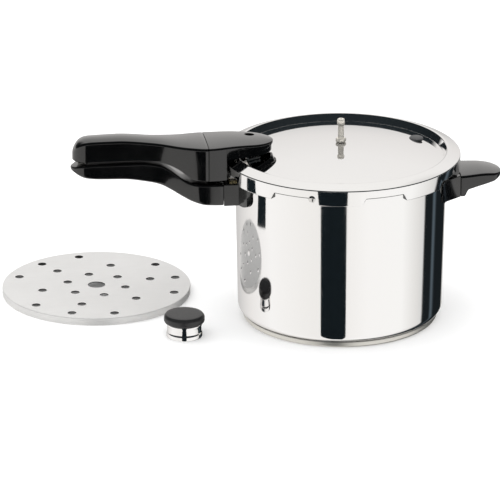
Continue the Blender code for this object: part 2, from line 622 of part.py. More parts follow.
def make_body_handle(parent):
    plastic = black_plastic("body_grip_plastic")
    seam = BODY_SEAM_R + GAP / 2
    r_values = [seam, 126.0, 134.0, 142.0, 147.0, 152.0, 158.0, 163.0, 169.0, 175.0, 182.0, 194.0, 212.0, 230.0,
                246.0] + list(reversed(tip_spaced(BODY_TIP_R, 14.0)))
    stations = handle_stations(r_values, BODY_WIDTH, BODY_TOP, BODY_LOW, -1.0, BODY_TIP_R, 14.0, 0.6, 2.0, 2.5)
    grip = new_part("body_handle_grip", mesh_from(loft_bm(stations), "body_handle_grip"), plastic, parent)
    x, y = LOCK_XY
    slots = tongue_slot((-151.5, -112.0), BODY_TONGUE_Z)
    box_bm(slots, (x - 3.2, x + 3.2), (y - 4.5, y + 4.5), (144.6, 154.0))
    boolean(grip, cutter(slots, "body_grip_slot_cutter"))
    screw_hole(grip, BODY_SCREW_X, 0.0, 122.0, 133.2, COUNTERBORE_R, 147.0)
    hang = ((EYELET_X, 0.0, 150.0), (EYELET_X, 0.0, 180.0), 4.3)
    boolean(grip, rods_cutter("hanging_hole_cutter", [hang], 16))
    make_screw("body_handle_screw", BODY_SCREW_X, 0.0, 130.4, 2.4, SCREW_HEAD_R, 146.4, parent)
    top = EYELET_TOP_Z
    turned("hanging_eyelet", [(3.4, top), (5.4, top - 0.3), (5.4, top - 0.8), (3.95, top - 0.8), (3.95, top - 12.0),
                              (3.4, top - 12.0)],
           dull_steel("eyelet_steel"), parent, centre=(EYELET_X, 0.0), steps=16, ring=True)


def make_body_collar(parent):
    """The collar that wraps round the pot's wall, with pockets for the bracket and the spring."""
    outer = BODY_SEAM_R - GAP / 2
    plan = [(-outer, -25.8), (-outer, 25.8), (-104.9, 25.9), (-98.9, 38.2), (-94.3, 45.2), (-80.0, 45.2),
            (-80.0, -45.2), (-94.3, -45.2), (-98.9, -38.2), (-104.9, -25.9)]
    collar = outline_part("body_handle_collar", plan, *BODY_COLLAR_Z, "Z", black_plastic("collar_plastic"), parent)
    wall = rod((0, 0, 100.0), (0, 0, 170.0), POT_R_TOP + COLLAR_POT_GAP, 96)
    boolean(collar, cutter(wall, "pot_clearance_cutter"))
    boolean(collar, cutter(tongue_slot((-122.0, -100.0), BODY_TONGUE_Z), "collar_tongue_cutter"))
    boolean(collar, cutter(box((-107.0, -96.0), (-12.6, 12.6), (130.4, 146.6)), "collar_plate_cutter"))
    boolean(collar, cutter(box((-115.0, -98.0), (-23.2, -13.2), (143.6, 154.0)), "collar_spring_cutter"))


def wall_bracket(name, side, low, high, tongue_z, reach, parent):
    """A plate against the pot's wall with a tongue standing out into the handle."""
    face, back = POT_R_TOP + 0.15, POT_R_TOP + 2.1
    x = sorted((side * face, side * back))
    plate = mesh_from(box(x, (-12.2, 12.2), (low, high)), name)
    part = new_part(name, plate, dull_steel(name + "_steel"), parent, False)
    tongue = box(sorted((side * (face + 0.6), side * reach)), (-TONGUE_HALF_W, TONGUE_HALF_W),
                 (tongue_z - TONGUE_HALF_T, tongue_z + TONGUE_HALF_T))
    boolean(part, cutter(tongue, name + "_tongue_tool"), "UNION")
    hole_x = BODY_SCREW_X if side < 0 else HELPER_SCREW_X
    boolean(part, rods_cutter(name + "_hole_cutter", [((hole_x, 0, low), (hole_x, 0, high), SCREW_CLEAR_R)]))


def make_collar_spring(parent):
    """A small brass coil lying in the collar's pocket, under the cover's skirt."""
    turns, per_turn, radius = 5, 9, 4.0
    x, y, z = SPRING_MIDDLE
    start = x - 0.5 * SPRING_LENGTH
    curve = bpy.data.curves.new("collar_spring", "CURVE")
    curve.dimensions = "3D"
    curve.bevel_depth = mm(0.4)
    curve.bevel_resolution = 1
    curve.use_fill_caps = True
    spline = curve.splines.new("POLY")
    count = turns * per_turn + 1
    spline.points.add(count - 1)
    for i, point in enumerate(spline.points):
        angle = 2 * math.pi * i / per_turn
        point.co = (mm(start + SPRING_LENGTH * i / (count - 1)), mm(y + radius * math.cos(angle)),
                    mm(z + radius * math.sin(angle)), 1.0)
    holder = bpy.data.objects.new("spring_path", curve)
    CUTTERS.objects.link(holder)
    new_part("collar_spring", curve_mesh(holder), material("spring_brass", (0.62, 0.50, 0.24), 0.3, 1.0), parent)


# ---------------------------------------------------------------- helper handle
def make_helper(parent):
    seam = HELPER_SEAM_R
    plan = [(seam - GAP / 2, -24.6), (seam - GAP / 2, 24.6), (99.3, 37.1), (92.5, 48.5), (80.0, 48.5), (80.0, -48.5),
            (92.5, -48.5), (99.3, -37.1)]
    plastic = black_plastic("helper_collar_plastic")
    collar = outline_part("helper_collar", plan, *HELPER_COLLAR_Z, "Z", plastic, parent)
    wall = rod((0, 0, 100.0), (0, 0, 170.0), POT_R_TOP + COLLAR_POT_GAP, 96)
    boolean(collar, cutter(wall, "helper_pot_cutter"))
    slot_tool = cutter(tongue_slot((98.0, 144.4), HELPER_TONGUE_Z), "helper_tongue_cutter")
    boolean(collar, slot_tool)
    boolean(collar, cutter(box((96.0, 107.0), (-12.6, 12.6), (127.0, 141.6)), "helper_plate_cutter"))
    r_values = [seam + GAP / 2, 119.0, 120.5, 121.5, 122.5, 124.0, 126.0, 129.0, 134.0, 140.0, 146.0] \
        + list(reversed(tip_spaced(HELPER_TIP_R, 10.0)))
    stations = handle_stations(r_values, HELPER_WIDTH, HELPER_TOP, HELPER_LOW, 1.0, HELPER_TIP_R, 10.0, 0.25, 3.0,
                               1.6)
    handle = new_part("helper_handle", mesh_from(loft_bm(stations), "helper_handle"),
                      black_plastic("helper_plastic"), parent)
    boolean(handle, slot_tool)
    screw_hole(handle, HELPER_SCREW_X, 0.0, 126.0, 135.0, 4.2, 141.8)
    wall_bracket("helper_bracket", 1.0, 127.4, 141.2, HELPER_TONGUE_Z, 144.0, parent)
    make_screw("helper_screw", HELPER_SCREW_X, 0.0, 133.0, 1.7, 3.7, 141.2, parent)


# ---------------------------------------------------------------- accessories
def make_rack(parent):
    """Pressed rack with a down-turned flange and rings of steam holes."""
    t, r = 1.2, RACK_R
    aluminium = material("rack_aluminium", (0.62, 0.61, 0.60), 0.38, 1.0)
    rack = turned("cooking_rack", [(8.7, RACK_H), (r - 0.8, RACK_H), (r, RACK_H - 0.8), (r, 0.0), (r - t, 0.0),
                                   (r - t, RACK_H - t), (8.7, RACK_H - t)],
                  aluminium, parent, centre=RACK_XY, steps=48, ring=True)
    places = [(30.0, 38.6 + 60.0 * i) for i in range(6)] + [(56.0, 8.8 + 60.0 * i) for i in range(6)]
    places += [(81.5, 6.5 + 120.0 * group + 30.0 * k) for group in range(3) for k in (-1, 0, 1)]
    rods = []
    for radius, degrees in places:
        x = RACK_XY[0] + radius * math.cos(math.radians(degrees))
        y = RACK_XY[1] + radius * math.sin(math.radians(degrees))
        rods.append(((x, y, 3.0), (x, y, 12.0), 4.35))
    boolean(rack, rods_cutter("rack_hole_cutter", rods, 10))


def make_regulator(parent):
    """Steel weight with a blind bore for the vent pipe, and its plastic cap."""
    turned("regulator_weight",
           [(0.0, 14.6), (16.6, 14.6), (17.3, 13.8), (17.3, 11.6), (16.4, 10.4), (16.4, 5.0), (17.6, 3.6), (17.8, 2.6),
            (17.8, 0.6), (17.2, 0.0), (4.6, 0.0), (4.6, 10.0), (0.0, 12.0)],
           dull_steel("weight_steel"), parent, centre=REGULATOR_XY, steps=28)
    turned("regulator_cap", [(0.0, 23.6), (10.0, 23.3), (17.6, 22.4), (19.3, 21.6), (20.0, 20.2), (20.0, 15.6),
                             (19.5, 14.9), (0.0, 14.9)],
           black_plastic("cap_plastic"), parent, centre=REGULATOR_XY, steps=28)


# ---------------------------------------------------------------- assembly
def main():
    pot = pivot("pot_frame", (0.0, 0.0, 0.0))
    cover = pivot("cover_axis", (0.0, 0.0, COVER_EDGE_Z))
    vent = pivot("air_vent_axis", (*VENT_XY, COLLAR_TOP_Z))
    lever = pivot("lever_axis", (PIVOT_X, VENT_XY[1], PIVOT_Z))
    pin = pivot("lock_pin_axis", (*LOCK_XY, COLLAR_TOP_Z))
    rack = pivot("rack_axis", (*RACK_XY, 0.0))
    regulator = pivot("regulator_axis", (*REGULATOR_XY, 0.0))
    make_pot(pot)
    make_base(pot)
    make_body_collar(pot)
    make_body_handle(pot)
    wall_bracket("body_handle_bracket", -1.0, 130.8, 146.2, BODY_TONGUE_Z, 151.0, pot)
    make_collar_spring(pot)
    make_helper(pot)
    make_cover(cover)
    make_seal(cover)
    make_vent_pipe(cover)
    make_plug(cover)
    make_cover_nose(cover)
    make_cover_grip(cover)
    make_cover_bracket(cover)
    make_cover_fasteners(cover)
    make_lock(cover, vent, lever, pin)
    make_rack(rack)
    make_regulator(regulator)


main()
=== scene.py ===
"""Looks of the pressure canner: fine meshes, materials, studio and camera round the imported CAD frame."""
import math

import bmesh
import bpy
from mathutils import Matrix, Vector


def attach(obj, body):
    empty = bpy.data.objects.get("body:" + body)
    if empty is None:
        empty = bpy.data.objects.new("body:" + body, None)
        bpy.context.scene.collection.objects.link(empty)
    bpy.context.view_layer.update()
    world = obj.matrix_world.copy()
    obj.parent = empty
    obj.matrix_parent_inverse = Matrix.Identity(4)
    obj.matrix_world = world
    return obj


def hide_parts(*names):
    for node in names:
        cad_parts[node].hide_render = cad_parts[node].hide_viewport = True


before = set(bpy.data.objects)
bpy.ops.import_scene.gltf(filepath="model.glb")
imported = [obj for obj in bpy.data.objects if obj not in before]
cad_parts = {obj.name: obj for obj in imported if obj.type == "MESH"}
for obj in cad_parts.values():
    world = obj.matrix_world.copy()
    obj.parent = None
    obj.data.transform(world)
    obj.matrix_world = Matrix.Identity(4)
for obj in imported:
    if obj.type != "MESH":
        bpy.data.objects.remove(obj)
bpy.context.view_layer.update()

# Driving sizes, repeated from the CAD part, in mm
COVER_R, COVER_EDGE_Z, COVER_SKIRT_Z, COVER_NOTCH_Z, COVER_SHEET = 117.6, 169.0, 153.6, 160.3, 1.2
COVER_LUG_R, RIDGE_R, RIDGE_Z, FLOOR_R, FLOOR_Z, DOME_RISE = 110.0, 105.6, 173.2, 101.0, 166.0, 13.0
LUG_COUNT, LUG_PHASE, COVER_NOTCH_DEG, RIM_LUG_DEG = 8, -100.0, 21.0, 20.0
RIM_R, RIM_GAP_R, RIM_Z, RIM_FLANGE_Z = 115.6, 108.5, 160.5, 157.2
POT_R_TOP, POT_R_LOW, POT_WALL, POT_FLOOR_Z, POT_CORNER_R, BASE_R = 104.2, 101.3, 1.5, 5.8, 8.0, 96.5
COVER_TIP_R, BODY_TIP_R, HELPER_TIP_R, NOSE_TIP_R = 265.0, 266.8, 160.0, 67.5
COVER_SEAM_R, BODY_SEAM_R, HELPER_SEAM_R, EYELET_X = 134.0, 119.4, 115.6, -255.0
BODY_COLLAR_Z, HELPER_COLLAR_Z, EYELET_TOP_Z = (126.8, 149.0), (124.4, 146.6), 171.2
FRONT_SCREW, REAR_SCREW, BODY_SCREW, HELPER_SCREW = (-124.0, -7.0), (-143.0, -7.0), (-143.0, 0.0), (134.0,
                                                                                                    0.0)
COUNTERBORE_R, SCREW_HOLE_R, PIVOT_HOLE_R = 4.4, 2.4, 1.8
VENT_MOUTH_R, HANG_HOLE_R, RACK_HOLE_R = 4.9, 4.3, 4.35
SPRING_START, SPRING_LENGTH = (-113.4, -18.2, 148.4), 7.6
GAP = 0.3
VENT_XY, LOCK_XY, PIVOT = (-89.5, 9.5), (-127.0, 9.5), (-108.25, 177.5)
PLUG_XY, RACK_XY, REGULATOR_XY = (79.0, 22.0), (-233.5, 89.5), (-161.0, -42.0)
RACK_R, RACK_H = 94.6, 7.6
RIVET_POLAR, RIVET_Z = -112.7, 160.0

# The photograph's viewpoint: turned a little off the handles' side view, seen from above with a long lens
YAW_DEG, ELEVATION_DEG, DISTANCE_M, LENS_MM = 8.0, 20.5, 4.5, 327.2
AIM_ACROSS, AIM_UP = -0.0892, 0.0656
ROOM_LIGHT, PAPER_GLOW, LAMP_W = 1.26, 0.10, 14.0


def mm(value):
    return value * 0.001


# ---------------------------------------------------------------- shader helpers
class Nodes:
    """Short names for building a material's node tree."""

    def __init__(self, name):
        self.mat = bpy.data.materials.new(name)
        self.mat.use_nodes = True
        self.tree = self.mat.node_tree
        self.shader = self.tree.nodes["Principled BSDF"]

    def add(self, kind, **values):
        node = self.tree.nodes.new(kind)
        for key, value in values.items():
            setattr(node, key, value)
        return node

    def link(self, source, target):
        self.tree.links.new(source, target)

    def coords(self, scale=(1.0, 1.0, 1.0)):
        """Object coordinates in metres, stretched by scale."""
        tex = self.add("ShaderNodeTexCoord")
        mapping = self.add("ShaderNodeMapping")
        mapping.inputs["Scale"].default_value = scale
        self.link(tex.outputs["Object"], mapping.inputs["Vector"])
        return mapping.outputs["Vector"]

    def noise(self, vector, scale, detail=3.0, roughness=0.5):
        node = self.add("ShaderNodeTexNoise")
        node.inputs["Scale"].default_value = scale
        node.inputs["Detail"].default_value = detail
        node.inputs["Roughness"].default_value = roughness
        self.link(vector, node.inputs["Vector"])
        return node.outputs["Fac"]

    def spread(self, value, low, high, start=0.3, end=0.7):
        """Maps a 0..1 pattern onto low..high."""
        node = self.add("ShaderNodeMapRange")
        for key, number in (("From Min", start), ("From Max", end), ("To Min", low), ("To Max", high)):
            node.inputs[key].default_value = number
        self.link(value, node.inputs["Value"])
        return node.outputs["Result"]

    def blend_colour(self, factor, first, second):
        node = self.add("ShaderNodeMix", data_type="RGBA")
        node.inputs[6].default_value = (*first, 1.0)
        node.inputs[7].default_value = (*second, 1.0)
        self.link(factor, node.inputs[0])
        return node.outputs[2]

    def bump(self, height, strength, distance):
        node = self.add("ShaderNodeBump")
        node.inputs["Strength"].default_value = strength
        node.inputs["Distance"].default_value = distance
        self.link(height, node.inputs["Height"])
        self.link(node.outputs["Normal"], self.shader.inputs["Normal"])

    def turned_coords(self, centre, stretch):
        """Radius, height and slowed angle as coordinates, for marks that run round a turned piece."""
        tex = self.add("ShaderNodeTexCoord")
        split = self.add("ShaderNodeSeparateXYZ")
        self.link(tex.outputs["Object"], split.inputs["Vector"])
        flat = self.add("ShaderNodeCombineXYZ")
        self.link(split.outputs["X"], flat.inputs["X"])
        self.link(split.outputs["Y"], flat.inputs["Y"])
        away = self.add("ShaderNodeVectorMath", operation="DISTANCE")
        away.inputs[1].default_value = (mm(centre[0]), mm(centre[1]), 0.0)
        self.link(flat.outputs["Vector"], away.inputs[0])
        both = self.add("ShaderNodeCombineXYZ")
        self.link(away.outputs["Value"], both.inputs["X"])
        self.link(split.outputs["Z"], both.inputs["Y"])
        angle = self.add("ShaderNodeMath", operation="ARCTAN2")
        self.link(split.outputs["Y"], angle.inputs[0])
        self.link(split.outputs["X"], angle.inputs[1])
        slow = self.add("ShaderNodeMath", operation="MULTIPLY")
        slow.inputs[1].default_value = stretch
        self.link(angle.outputs["Value"], slow.inputs[0])
        self.link(slow.outputs["Value"], both.inputs["Z"])
        return both.outputs["Vector"]


def mirror_steel(name, centre=(0.0, 0.0), tint=(0.935, 0.925, 0.915), rough=(0.035, 0.075), spin=0.006):
    """Polished stainless: faint spun lines, a slight ripple and patches of softer polish."""
    n = Nodes(name)
    lines = n.noise(n.turned_coords(centre, 0.002), 2600.0, 2.0)
    patches = n.noise(n.coords(), 14.0, 3.0)
    n.shader.inputs["Metallic"].default_value = 1.0
    worn = (tint[0] * 0.975, tint[1] * 0.98, tint[2] * 0.99)
    n.link(n.blend_colour(patches, worn, tint), n.shader.inputs["Base Color"])
    n.link(n.spread(patches, *rough), n.shader.inputs["Roughness"])
    n.bump(lines, spin, 0.0004)
    return n.mat


def satin_steel(name, tint=(0.74, 0.72, 0.69), rough=(0.16, 0.30)):
    """Machined fittings: turning marks and a warm nickel tone."""
    n = Nodes(name)
    lines = n.noise(n.turned_coords((0.0, 0.0), 0.001), 3800.0, 2.0)
    n.shader.inputs["Metallic"].default_value = 1.0
    n.link(n.blend_colour(lines, tuple(c * 0.86 for c in tint), tint), n.shader.inputs["Base Color"])
    n.link(n.spread(lines, *rough), n.shader.inputs["Roughness"])
    n.bump(lines, 0.04, 0.0002)
    return n.mat


def phenolic(name):
    """Glossy black moulded phenolic: soft mottling, fine moulding texture and a clear skin."""
    n = Nodes(name)
    mottle = n.noise(n.coords(), 60.0, 4.0)
    grain = n.noise(n.coords(), 900.0, 2.0)
    n.link(n.blend_colour(mottle, (0.0010, 0.0010, 0.0011), (0.0022, 0.0022, 0.0023)),
           n.shader.inputs["Base Color"])
    n.link(n.spread(mottle, 0.10, 0.20), n.shader.inputs["Roughness"])
    n.shader.inputs["IOR"].default_value = 1.40
    n.shader.inputs["Coat Weight"].default_value = 1.0
    n.shader.inputs["Coat IOR"].default_value = 1.46
    n.shader.inputs["Coat Roughness"].default_value = 0.06
    n.bump(grain, 0.05, 0.0002)
    return n.mat


def cap_phenolic():
    """The regulator's cap: the same black, moulded with a matt pebbled skin."""
    n = Nodes("cap_phenolic")
    pebble = n.noise(n.coords(), 1400.0, 3.0)
    n.link(n.blend_colour(pebble, (0.010, 0.010, 0.0105), (0.020, 0.020, 0.021)),
           n.shader.inputs["Base Color"])
    n.link(n.spread(pebble, 0.30, 0.46), n.shader.inputs["Roughness"])
    n.bump(pebble, 0.25, 0.0003)
    return n.mat


def shaded_underside(name, grey):
    """The unpolished inner side of a pressed sheet, painted dark grey as shade for the gaps under and inside
    it.
    """
    n = Nodes(name)
    cloud = n.noise(n.coords(), 90.0, 4.0)
    n.link(n.blend_colour(cloud, (grey * 0.7,) * 3, (grey, grey, grey * 0.98)), n.shader.inputs["Base Color"])
    n.shader.inputs["Metallic"].default_value = 0.6
    n.link(n.spread(cloud, 0.45, 0.65), n.shader.inputs["Roughness"])
    return n.mat


def rack_aluminium(name):
    """Pressed aluminium with a matt, lightly rolled grain."""
    n = Nodes(name)
    rolled = n.noise(n.coords((30.0, 900.0, 300.0)), 1.0, 4.0)
    cloud = n.noise(n.coords(), 22.0, 3.0)
    n.shader.inputs["Metallic"].default_value = 0.45
    n.link(n.blend_colour(cloud, (0.66, 0.655, 0.645), (0.74, 0.735, 0.725)), n.shader.inputs["Base Color"])
    n.link(n.spread(rolled, 0.30, 0.44), n.shader.inputs["Roughness"])
    n.bump(rolled, 0.12, 0.0002)
    return n.mat


def rubber(name, low, high):
    """Moulded rubber with a matt bloom."""
    n = Nodes(name)
    bloom = n.noise(n.coords(), 180.0, 4.0)
    n.link(n.blend_colour(bloom, (low, low, low * 1.02), (high, high, high * 1.02)),
           n.shader.inputs["Base Color"])
    n.link(n.spread(bloom, 0.42, 0.62), n.shader.inputs["Roughness"])
    n.bump(bloom, 0.10, 0.0002)
    return n.mat


def spring_brass(name):
    n = Nodes(name)
    tarnish = n.noise(n.coords(), 420.0, 3.0)
    n.shader.inputs["Metallic"].default_value = 1.0
    n.link(n.blend_colour(tarnish, (0.50, 0.40, 0.20), (0.78, 0.68, 0.42)), n.shader.inputs["Base Color"])
    n.link(n.spread(tarnish, 0.18, 0.36), n.shader.inputs["Roughness"])
    return n.mat


# ---------------------------------------------------------------- mesh helpers
def add_piece(name, mesh, mat, body, nodes=(), sharp_deg=32.0, inner=None):
    """A finished piece on its body, standing for the CAD nodes named; inner is (material, face test)."""
    mesh.materials.clear()
    mesh.materials.append(mat)
    if inner:
        mesh.materials.append(inner[0])
        for face in mesh.polygons:
            face.material_index = 1 if inner[1](face) else 0
    mesh.shade_smooth()
    mesh.set_sharp_from_angle(angle=math.radians(sharp_deg))
    obj = bpy.data.objects.new(name, mesh)
    bpy.context.scene.collection.objects.link(obj)
    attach(obj, body)
    if nodes:
        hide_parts(*nodes)


def to_mesh(bm, name):
    mesh = bpy.data.meshes.new(name)
    bmesh.ops.recalc_face_normals(bm, faces=bm.faces)
    bm.to_mesh(mesh)
    bm.free()
    return mesh


def cut(mesh, *tools):
    """Cuts closed tool meshes out of a mesh and returns the result."""
    body = bpy.data.objects.new("cut_body", mesh)
    bpy.context.scene.collection.objects.link(body)
    made = []
    for bm in tools:
        tool = bpy.data.objects.new("cut_tool", to_mesh(bm, "cut_tool"))
        bpy.context.scene.collection.objects.link(tool)
        mod = body.modifiers.new("cut", "BOOLEAN")
        mod.operation, mod.solver, mod.object = "DIFFERENCE", "EXACT", tool
        made.append(tool)
    bpy.context.view_layer.update()
    result = bpy.data.meshes.new_from_object(body.evaluated_get(bpy.context.evaluated_depsgraph_get()))
    for obj in [body] + made:
        bpy.data.objects.remove(obj, do_unlink=True)
    return result


def box_bm(x, y, z):
    bm = bmesh.new()
    size = [mm(b - a) for a, b in (x, y, z)]
    centre = [mm(0.5 * (a + b)) for a, b in (x, y, z)]
    bmesh.ops.create_cube(bm, size=1.0, matrix=Matrix.Translation(centre) @ Matrix.Diagonal((*size, 1.0)))
    return bm


def rods_bm(rods, segments=40):
    """Upright or slanting cylinders (start, end, radius) as one set of closed bodies."""
    bm = bmesh.new()
    for start, end, radius in rods:
        a, b = Vector(start), Vector(end)
        turn = (b - a).to_track_quat("Z", "Y").to_matrix().to_4x4()
        bmesh.ops.create_cone(bm, cap_ends=True, segments=segments, radius1=mm(radius), radius2=mm(radius),
                              depth=mm((b - a).length),
                              matrix=Matrix.Translation((a + b) * 0.5 * 0.001) @ turn)
    return bm


def lathe(name, profile, steps=192, centre=(0.0, 0.0), ring=False):
    """A turned mesh. profile is (r, z) points, or a function of the polar angle that returns them."""
    shape = profile if callable(profile) else (lambda phi: profile)
    bm = bmesh.new()
    columns, poles = [], {}
    for i in range(steps):
        phi = 2 * math.pi * i / steps
        column = []
        for k, (r, z) in enumerate(shape(phi)):
            if r < 1e-6:
                if k not in poles:
                    poles[k] = bm.verts.new((mm(centre[0]), mm(centre[1]), mm(z)))
                column.append(poles[k])
            else:
                column.append(bm.verts.new((mm(centre[0] + r * math.cos(phi)),
                                            mm(centre[1] + r * math.sin(phi)), mm(z))))
        columns.append(column)
    count = len(columns[0])
    for i in range(steps):
        a, b = columns[i], columns[(i + 1) % steps]
        for k in range(count if ring else count - 1):
            n = (k + 1) % count
            corner = []
            for vert in (a[k], b[k], b[n], a[n]):
                if vert not in corner:
                    corner.append(vert)
            if len(corner) > 2:
                bm.faces.new(corner)
    return to_mesh(bm, name)


def arc(centre_r, centre_z, radius, start_deg, end_deg, count):
    """Points along an arc in the (r, z) plane."""
    out = []
    for i in range(count):
        a = math.radians(start_deg + (end_deg - start_deg) * i / (count - 1))
        out.append((centre_r + radius * math.cos(a), centre_z + radius * math.sin(a)))
    return out


def spaced(start, end, count):
    return [start + (end - start) * i / (count - 1) for i in range(count)]


def rounded(points, radius, steps=5):
    """Rounds the inner corners of an open (r, z) line; radius is one number or one per inner corner."""
    out = [points[0]]
    for i in range(1, len(points) - 1):
        reach = radius[i - 1] if isinstance(radius, (list, tuple)) else radius
        p, q, r = (Vector(points[k]) for k in (i - 1, i, i + 1))
        into, away = (p - q), (r - q)
        reach = min(reach, 0.49 * into.length, 0.49 * away.length)
        if reach <= 0.01:
            out.append(tuple(q))
            continue
        a, b = q + into.normalized() * reach, q + away.normalized() * reach
        for t in spaced(0.0, 1.0, steps):
            out.append(tuple(a * (1 - t) ** 2 + q * 2 * t * (1 - t) + b * t * t))
    out.append(points[-1])
    return out


def key_slope(keys, i):
    if i == 0 or i == len(keys) - 1:
        return 0.0
    before = (keys[i][1] - keys[i - 1][1]) / (keys[i][0] - keys[i - 1][0])
    after = (keys[i + 1][1] - keys[i][1]) / (keys[i + 1][0] - keys[i][0])
    return 0.0 if before * after <= 0 else 2 * before * after / (before + after)


def smooth_value(keys, x):
    """A smooth curve through (x, value) keys that never overshoots them."""
    if x <= keys[0][0]:
        return keys[0][1]
    for i in range(len(keys) - 1):
        (x0, v0), (x1, v1) = keys[i], keys[i + 1]
        if x <= x1:
            h = x1 - x0
            t = (x - x0) / h
            return ((1 + 2 * t) * (1 - t) ** 2 * v0 + t * (1 - t) ** 2 * h * key_slope(keys, i)
                    + t * t * (3 - 2 * t) * v1 + t * t * (t - 1) * h * key_slope(keys, i + 1))
    return keys[-1][1]


def section(half, low, high, top_r, low_r, crown, draft, turns=6):
    """A moulded handle's section: crowned top, rounded shoulders, drafted sides and a flat underside."""
    top_r = min(top_r, 0.8 * half, 0.45 * (high - low))
    low_r = min(low_r, 0.6 * half, 0.3 * (high - low))
    crown = min(crown, 0.3 * (high - low))
    side = []
    shoulder_z = high - crown - top_r
    for k in range(turns + 1):
        a = math.radians(90.0 * k / turns)
        side.append((half - top_r + top_r * math.cos(a), shoulder_z + top_r * math.sin(a)))
    inner = half - top_r
    for k in range(1, turns):
        y = inner * (1.0 - k / turns)
        side.append((y, high - crown * (y / inner) ** 2))
    right_low = []
    foot = half - draft * min(1.0, (high - low) / 20.0)
    for k in range(turns):
        a = math.radians(-90.0 + 90.0 * k / (turns - 1))
        right_low.append((foot - low_r + low_r * math.cos(a), low + low_r + low_r * math.sin(a)))
    right = right_low + side
    return right + [(0.0, high)] + [(-y, z) for y, z in reversed(right)]


def loft(name, stations, side):
    """Joins sections along X (at side * r) into one closed mesh; the ends are fanned from their middles."""
    bm = bmesh.new()
    rings = []
    for r, points in stations:
        rings.append([bm.verts.new((mm(side * r), mm(y), mm(z))) for y, z in points])
    for ring, after in zip(rings, rings[1:]):
        for k in range(len(ring)):
            n = (k + 1) % len(ring)
            bm.faces.new((ring[k], ring[n], after[n], after[k]))
    bm.faces.new(rings[0])
    bm.faces.new(rings[-1])
    return to_mesh(bm, name)


def crowded(start, end, count):
    """Distances that crowd towards the end, for a rounded tip."""
    return [start + (end - start) * math.sin(math.radians(90.0 * i / count)) for i in range(1, count + 1)]


def handle_mesh(name, seam, tip, tip_len, curves, side, flat=0.5, top_r=4.0, low_r=3.0, crown=1.4,
                draft=0.8, step=3.0):
    """A handle lofted from its seam to its tip, with a rounded end and slightly eased seam edge."""
    width, top, low = curves
    ease = 0.5
    stations = []
    for r, shrink in ((seam, ease), (seam + 0.2, ease * 0.3), (seam + ease, 0.0)):
        half, bottom, high = (smooth_value(c, r) for c in (width, low, top))
        stations.append((r, section(half - shrink, bottom + shrink, high - shrink, top_r, low_r, crown,
                                    draft)))
    count = int((tip - tip_len - seam) / step)
    for r in spaced(seam + ease, tip - tip_len, count)[1:]:
        half, bottom, high = (smooth_value(c, r) for c in (width, low, top))
        stations.append((r, section(half, bottom, high, top_r, low_r, crown, draft)))
    for r in crowded(tip - tip_len, tip, 14):
        half, bottom, high = (smooth_value(c, r) for c in (width, low, top))
        s = math.sqrt(max(1.0 - ((r - tip + tip_len) / tip_len) ** 2, 0.0009))
        middle = bottom + flat * (high - bottom)
        t = 0.25 + 0.75 * s ** 0.7 if s > 0.05 else 0.25
        stations.append((r, section(half * s, middle - (middle - bottom) * t, middle + (high - middle) * t,
                                    top_r, low_r, crown * s, draft * s)))
    return loft(name, stations, side)


# ---------------------------------------------------------------- cover
def step01(value):
    value = max(0.0, min(1.0, value))
    return value * value * (3.0 - 2.0 * value)


def lug_share(phi, lug_deg, ease_deg):
    """1 inside a bayonet lug, 0 in the gap between two, eased over ease_deg at the lug's ends."""
    period = 360.0 / LUG_COUNT
    away = abs((math.degrees(phi) - LUG_PHASE + period / 2) % period - period / 2)
    return step01((lug_deg / 2 + ease_deg / 2 - away) / ease_deg)


def dome_z(radius):
    return FLOOR_Z + DOME_RISE * (1.0 - (radius / FLOOR_R) ** 2)


HEM = 0.9                       # height of the sheet edge that stays unpolished and is painted dark as shade, mm


def is_shaded_hem(face):
    """The sheet edge painted dark as shade, on top of its unpolished finish: round the notches, up their ends
    and everywhere under the skirt.
    """
    x, y, z = (c * 1000.0 for c in face.center)
    radius = math.hypot(x, y)
    if z > COVER_EDGE_Z - 1.0 or radius < COVER_LUG_R - 0.5:
        return face.normal.z < -0.1
    share = lug_share(math.atan2(y, x), 360.0 / LUG_COUNT - COVER_NOTCH_DEG, 2.4)
    edge_z = COVER_NOTCH_Z + (COVER_SKIRT_Z - COVER_NOTCH_Z) * share
    return radius < COVER_R - 0.3 or (share < 0.97 and z < edge_z + HEM)


